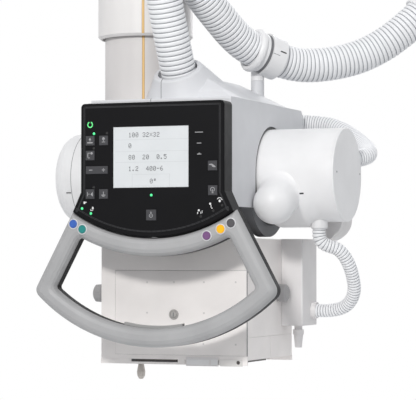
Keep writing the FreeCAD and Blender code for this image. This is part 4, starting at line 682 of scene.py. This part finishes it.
bm = bmesh.new()
COVER_SIDES, COVER_STEPS = 120, 54
rings = [[bm.verts.new(cover_point(COVER_LEFT + (COVER_RIGHT - COVER_LEFT) * i / COVER_STEPS,
                                   360 * k / COVER_SIDES)) for k in range(COVER_SIDES)]
         for i in range(COVER_STEPS + 1)]
to_front, upward = Vector((0, -1, 0)), Vector((0, 0, 1))
rings += [ring(bm, at(x, TUBE_BACK, 0), to_front, upward, COVER_INSIDE / 1000, COVER_SIDES)
          for x in (COVER_RIGHT, COVER_LEFT)]
for i, second in enumerate(rings):
    band(bm, rings[i - 1], second)
DOME_SIDES, DOME_RADIUS, DOME_FLARE, DOME_DISTANCE, FLARE_STEPS, CROWN_STEPS = 72, 41, 14, 123, 9, 16
dome_turn = math.radians(28)
dome_way = Vector((0, -math.cos(dome_turn), -math.sin(dome_turn)))
dome_side = Vector((0, -math.sin(dome_turn), math.cos(dome_turn)))
dome_root = at(188.5, TUBE_BACK, 0)
rings = []
for step in range(FLARE_STEPS + CROWN_STEPS + 2):
    rings.append([])
    for k in range(DOME_SIDES):
        turn = 2 * math.pi * k / DOME_SIDES
        flared, plain = [math.sqrt(TUBE_RADIUS ** 2 - (r * math.sin(turn)) ** 2)
                         for r in (DOME_RADIUS + DOME_FLARE, DOME_RADIUS)]
        if step <= FLARE_STEPS:
            t = step / FLARE_STEPS
            radius = DOME_RADIUS + DOME_FLARE * (1 - t) ** 2
            height = ((1 - t) ** 2 * (flared - 0.4) + 2 * t * (1 - t) * plain
                      + t * t * (plain + DOME_FLARE))
        else:
            rise = math.radians(88 * (step - FLARE_STEPS - 1) / CROWN_STEPS)
            radius = DOME_RADIUS * math.cos(rise)
            height = DOME_DISTANCE + DOME_RADIUS * math.sin(rise)
        rings[-1].append(bm.verts.new(dome_root + (
            Vector((1, 0, 0)) * radius * math.cos(turn) + dome_side * radius * math.sin(turn)
            + dome_way * height) / 1000))
for first, second in zip(rings, rings[1:]):
    band(bm, first, second)
bm.faces.new(rings[0][::-1])
bm.faces.new(rings[-1])
cover = piece("right_cover_skin", bm, white_plastic, "tube_unit", smooth=40)
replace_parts(cover, "tube_cover_right")
studs("supply_gland", [at(*supply_root)], (-0.587, -0.8, -0.133), [
    (0, 0), (18.9, 0), (18.9, -14), (21.4, -14), (22.5, -12.8), (22.5, 31), (0, 31)], white_plastic,
    "tube_unit", 48)
studs("lead_socket", [at(250, 262, -106)], (0, 0, 1), [
    (0, 6), (13.9, 6), (13.9, 0), (15.6, 0), (16.5, 0.9), (16.5, 36), (0, 36)], white_plastic,
    "tube_unit", 40)
bm = bmesh.new()
prism(bm, *[[cover_point(x, turn, out) for x, turn in box_outline(230.2, 241.2, -24.9, -23)]
            for out in (-1.0, 0.25)])
piece("cover_slot", bm, dark_hole, "tube_unit")
studs("cover_hole", [cover_point(257.5, -86, -0.5)], (0, 0, -1),
      [(0, 0), (1.8, 0), (1.8, 0.8), (0, 0.8)], dark_hole, "tube_unit")

# Rear cover: a lobe whose outer corner is one wide curve
outline = [(224, -60), (284, -60), (284, -88)]
for k in range(17):
    turn = math.radians(90 * k / 16)
    outline.append((226 + 58 * math.cos(turn), -88 - 46 * math.sin(turn)))
outline.append((224, -134))
bm = bmesh.new()
plate(bm, outline, 303, 66)
edges = [e for e in bm.edges if abs(e.verts[0].co.y - e.verts[1].co.y) < TINY]
bmesh.ops.bevel(bm, geom=edges, offset=0.006, segments=4, affect="EDGES", profile=0.5)
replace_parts(piece("rear_lobe", bm, side_grey, "tube_unit", smooth=40), "tube_rear_cover")

# Tube unit: the left cap's joint and mark, and the end disc's screws
seam("left_cap_joint", "tube_end_covers", at(-256.3, 0, 0), seam_grey, "tube_unit", 0.9, 0.2)
marks("cap_latch_mark", [oblong(-263, -31.4, 11, 1.8)], TUBE_BACK - 88.2, dark_hole, "tube_unit", 1.2)
studs("end_disc_screws", [at(303, 210, 3.5), at(303, 361, 4.6)], (1, 0, 0),
      [(0, 0.05), (0.9, 0.05), (1.0, 0.3), (1.9, 0.25), (2.1, -0.4), (0, -0.4)], seam_grey, "tube_unit")

# Collimator: door with its gap and dial
DOOR_BACK = 109.4
bm = bmesh.new()
plate(bm, box_outline(-123, 152.9, -353, -188.6), DOOR_BACK, 3.4)
front_edges = [e for e in bm.edges if all(abs(v.co.y - at(0, DOOR_BACK, 0).y) < TINY for v in e.verts)]
bmesh.ops.bevel(bm, geom=front_edges, offset=0.0011, segments=3, affect="EDGES", profile=0.5)
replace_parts(piece("door_panel", bm, collimator_white, "collimator"), "collimator_door")
marks("door_gap", line_plates(box_outline(-123.5, 153.4, -353.4, -188.1), 0.9), 110.6, seam_grey,
      "collimator", 1.5)
DIAL_X, DIAL_Z = 1.9, -274.4
dial = at(DIAL_X, DOOR_BACK, DIAL_Z)
studs("dial_rim", [dial], (0, -1, 0), [
    (0, -1), (10, -1), (10, 1.2), (9.2, 2.0), (7.4, 2.0), (7.0, 1.0), (0, 1.0)], dial_grey, "collimator", 44)
studs("dial_centre", [dial], (0, -1, 0), [
    (0, 0.5), (6.1, 0.5), (6.1, 2.3), (5.4, 3.0), (2.6, 3.2), (0, 3.2)], dial_grey, "collimator", 40)
marks("dial_slot", [oblong(DIAL_X, DIAL_Z, 1.6, 8.4)], 106.1, seam_dark_and_gap_shade, "collimator", 0.6)

# Collimator: the lower lip, which leaves a slot for the left lever, label places, rail panel and screws
SLOT_LEFT, SLOT_RIGHT, SLOT_TOP, LIP_WALL = -90, 10, -367.4, 4
bm = bmesh.new()
for left, right, top in ((-COLLIMATOR_HALF, SLOT_LEFT, LIP_TOP), (SLOT_LEFT, SLOT_RIGHT, SLOT_TOP),
                         (SLOT_RIGHT, 24, LIP_TOP), (143, COLLIMATOR_HALF, LIP_TOP)):
    plate(bm, box_outline(left, right, LIP_FOOT, top), 110, LIP_WALL)
plate(bm, box_outline(-COLLIMATOR_HALF, LIP_WALL - COLLIMATOR_HALF, LIP_FOOT, LIP_TOP), 114, 256)
plate(bm, box_outline(-COLLIMATOR_HALF, COLLIMATOR_HALF, LIP_FOOT, LIP_TOP), 370, LIP_WALL)
piece("lower_lip", bm, collimator_white, "collimator")
marks("lever_guide", [box_outline(-120, 26, -371, -362)], 135, guide_plastic, "collimator", 2)
marks("label_place", [oblong(61, -365.2, 67, 17, 1.2)], 108.9, side_grey, "collimator", 2.6)
marks("label_field", oblongs((53, -366.2, 46, 9.6, 0.8), (86.5, -366.2, 13, 10.4, 0.8)), 108.7,
      white_plastic, "collimator", 0.6)
marks("rail_panel", [oblong(121, -367, 47, 13, 1.2)], 109.3, rail_metal, "collimator", 2.4)
studs("rail_screw", [at(136, 109.2, -366)], (0, -1, 0), [
    (0, 0), (3.4, 0), (3.4, 1.0), (2.6, 1.6), (0, 1.6)], lever_dark, "collimator")
studs("door_screws", [at(x, 107, z) for x, z in (
    (-54.9, -211.8), (1.9, -211.6), (64.8, -211.3), (130.6, -211.1), (-54.9, -271.4), (64.8, -271.2),
    (63.7, -331.0), (130.6, -331.4))], (0, 1, 0), [
    (0, 2.9), (1.9, 2.9), (1.9, 2.25), (1.2, 2.1), (0, 2.15)], screw_pale, "collimator")

# Lights, backdrop and picture settings

scene = bpy.context.scene
scene.view_settings.view_transform = "Standard"
world = bpy.data.worlds.new("room")
scene.world = world
world.use_nodes = True
tree = world.node_tree
tree.nodes.clear()
output = tree.nodes.new("ShaderNodeOutputWorld")
room = tree.nodes.new("ShaderNodeBackground")
room.inputs["Strength"].default_value = 0.7

# The room's own light falls off towards the floor
direction = tree.nodes.new("ShaderNodeTexCoord")
part = tree.nodes.new("ShaderNodeSeparateXYZ")
fall = tree.nodes.new("ShaderNodeMapRange")
fall.inputs["From Min"].default_value = -0.5
fall.inputs["From Max"].default_value = 0.6
shade = tree.nodes.new("ShaderNodeValToRGB")
shade.color_ramp.elements[0].color = (0.15, 0.15, 0.155, 1)
shade.color_ramp.elements[1].color = (1.0, 1.02, 1.05, 1)
tree.links.new(direction.outputs["Generated"], part.inputs["Vector"])
tree.links.new(part.outputs["Z"], fall.inputs["Value"])
tree.links.new(fall.outputs["Result"], shade.inputs["Fac"])
tree.links.new(shade.outputs["Color"], room.inputs["Color"])

# Camera, glossy and transmission rays see plain white
seen = tree.nodes.new("ShaderNodeBackground")
seen.inputs["Color"].default_value = (1, 1, 1, 1)
seen.inputs["Strength"].default_value = 1.0
choice = tree.nodes.new("ShaderNodeMixShader")
path = tree.nodes.new("ShaderNodeLightPath")
either = tree.nodes.new("ShaderNodeMath")
either.operation = "ADD"
every = tree.nodes.new("ShaderNodeMath")
every.operation = "ADD"
every.use_clamp = True
tree.links.new(path.outputs["Is Camera Ray"], either.inputs[0])
tree.links.new(path.outputs["Is Glossy Ray"], either.inputs[1])
tree.links.new(either.outputs["Value"], every.inputs[0])
tree.links.new(path.outputs["Is Transmission Ray"], every.inputs[1])
tree.links.new(every.outputs["Value"], choice.inputs["Fac"])
tree.links.new(room.outputs["Background"], choice.inputs[1])
tree.links.new(seen.outputs["Background"], choice.inputs[2])
tree.links.new(choice.outputs["Shader"], output.inputs["Surface"])


def lamp(name, place, target, width, power, colour=(1, 1, 1)):
    """A round soft lamp at a place, turned towards a target."""
    light = bpy.data.lights.new(name, "AREA")
    light.shape = "DISK"
    light.size = width
    light.energy = power
    light.color = colour
    holder = bpy.data.objects.new(name, light)
    scene.collection.objects.link(holder)
    holder.location = place
    holder.rotation_mode = "QUATERNION"
    holder.rotation_quaternion = (Vector(target) - Vector(place)).to_track_quat("-Z", "Y")


lamp("key_light", (0.4, -3.3, 0.85), (0.11, 0.0, -0.75), 0.45, 70, (1.0, 0.985, 0.965))
lamp("side_light", (2.7, -1.9, 1.5), (0.11, 0.0, -0.65), 1.6, 13)
lamp("back_light", (0.5, 2.6, 0.6), (0.11, 0.1, -0.5), 2.0, 20)

FLOOR_HALF, FLOOR_Z = 4, -2.1
bm = bmesh.new()
bm.faces.new([bm.verts.new((x * FLOOR_HALF, y * FLOOR_HALF, FLOOR_Z))
              for x, y in ((-1, -1), (1, -1), (1, 1), (-1, 1))])
floor_mesh = bpy.data.meshes.new("floor")
bm.to_mesh(floor_mesh)
bm.free()
floor = bpy.data.objects.new("floor", floor_mesh)
scene.collection.objects.link(floor)
floor_mesh.materials.append(material("floor_pale", (0.9, 0.9, 0.9), 0.7, mottle=0.01, bump=0.02))
floor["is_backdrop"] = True

low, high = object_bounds()
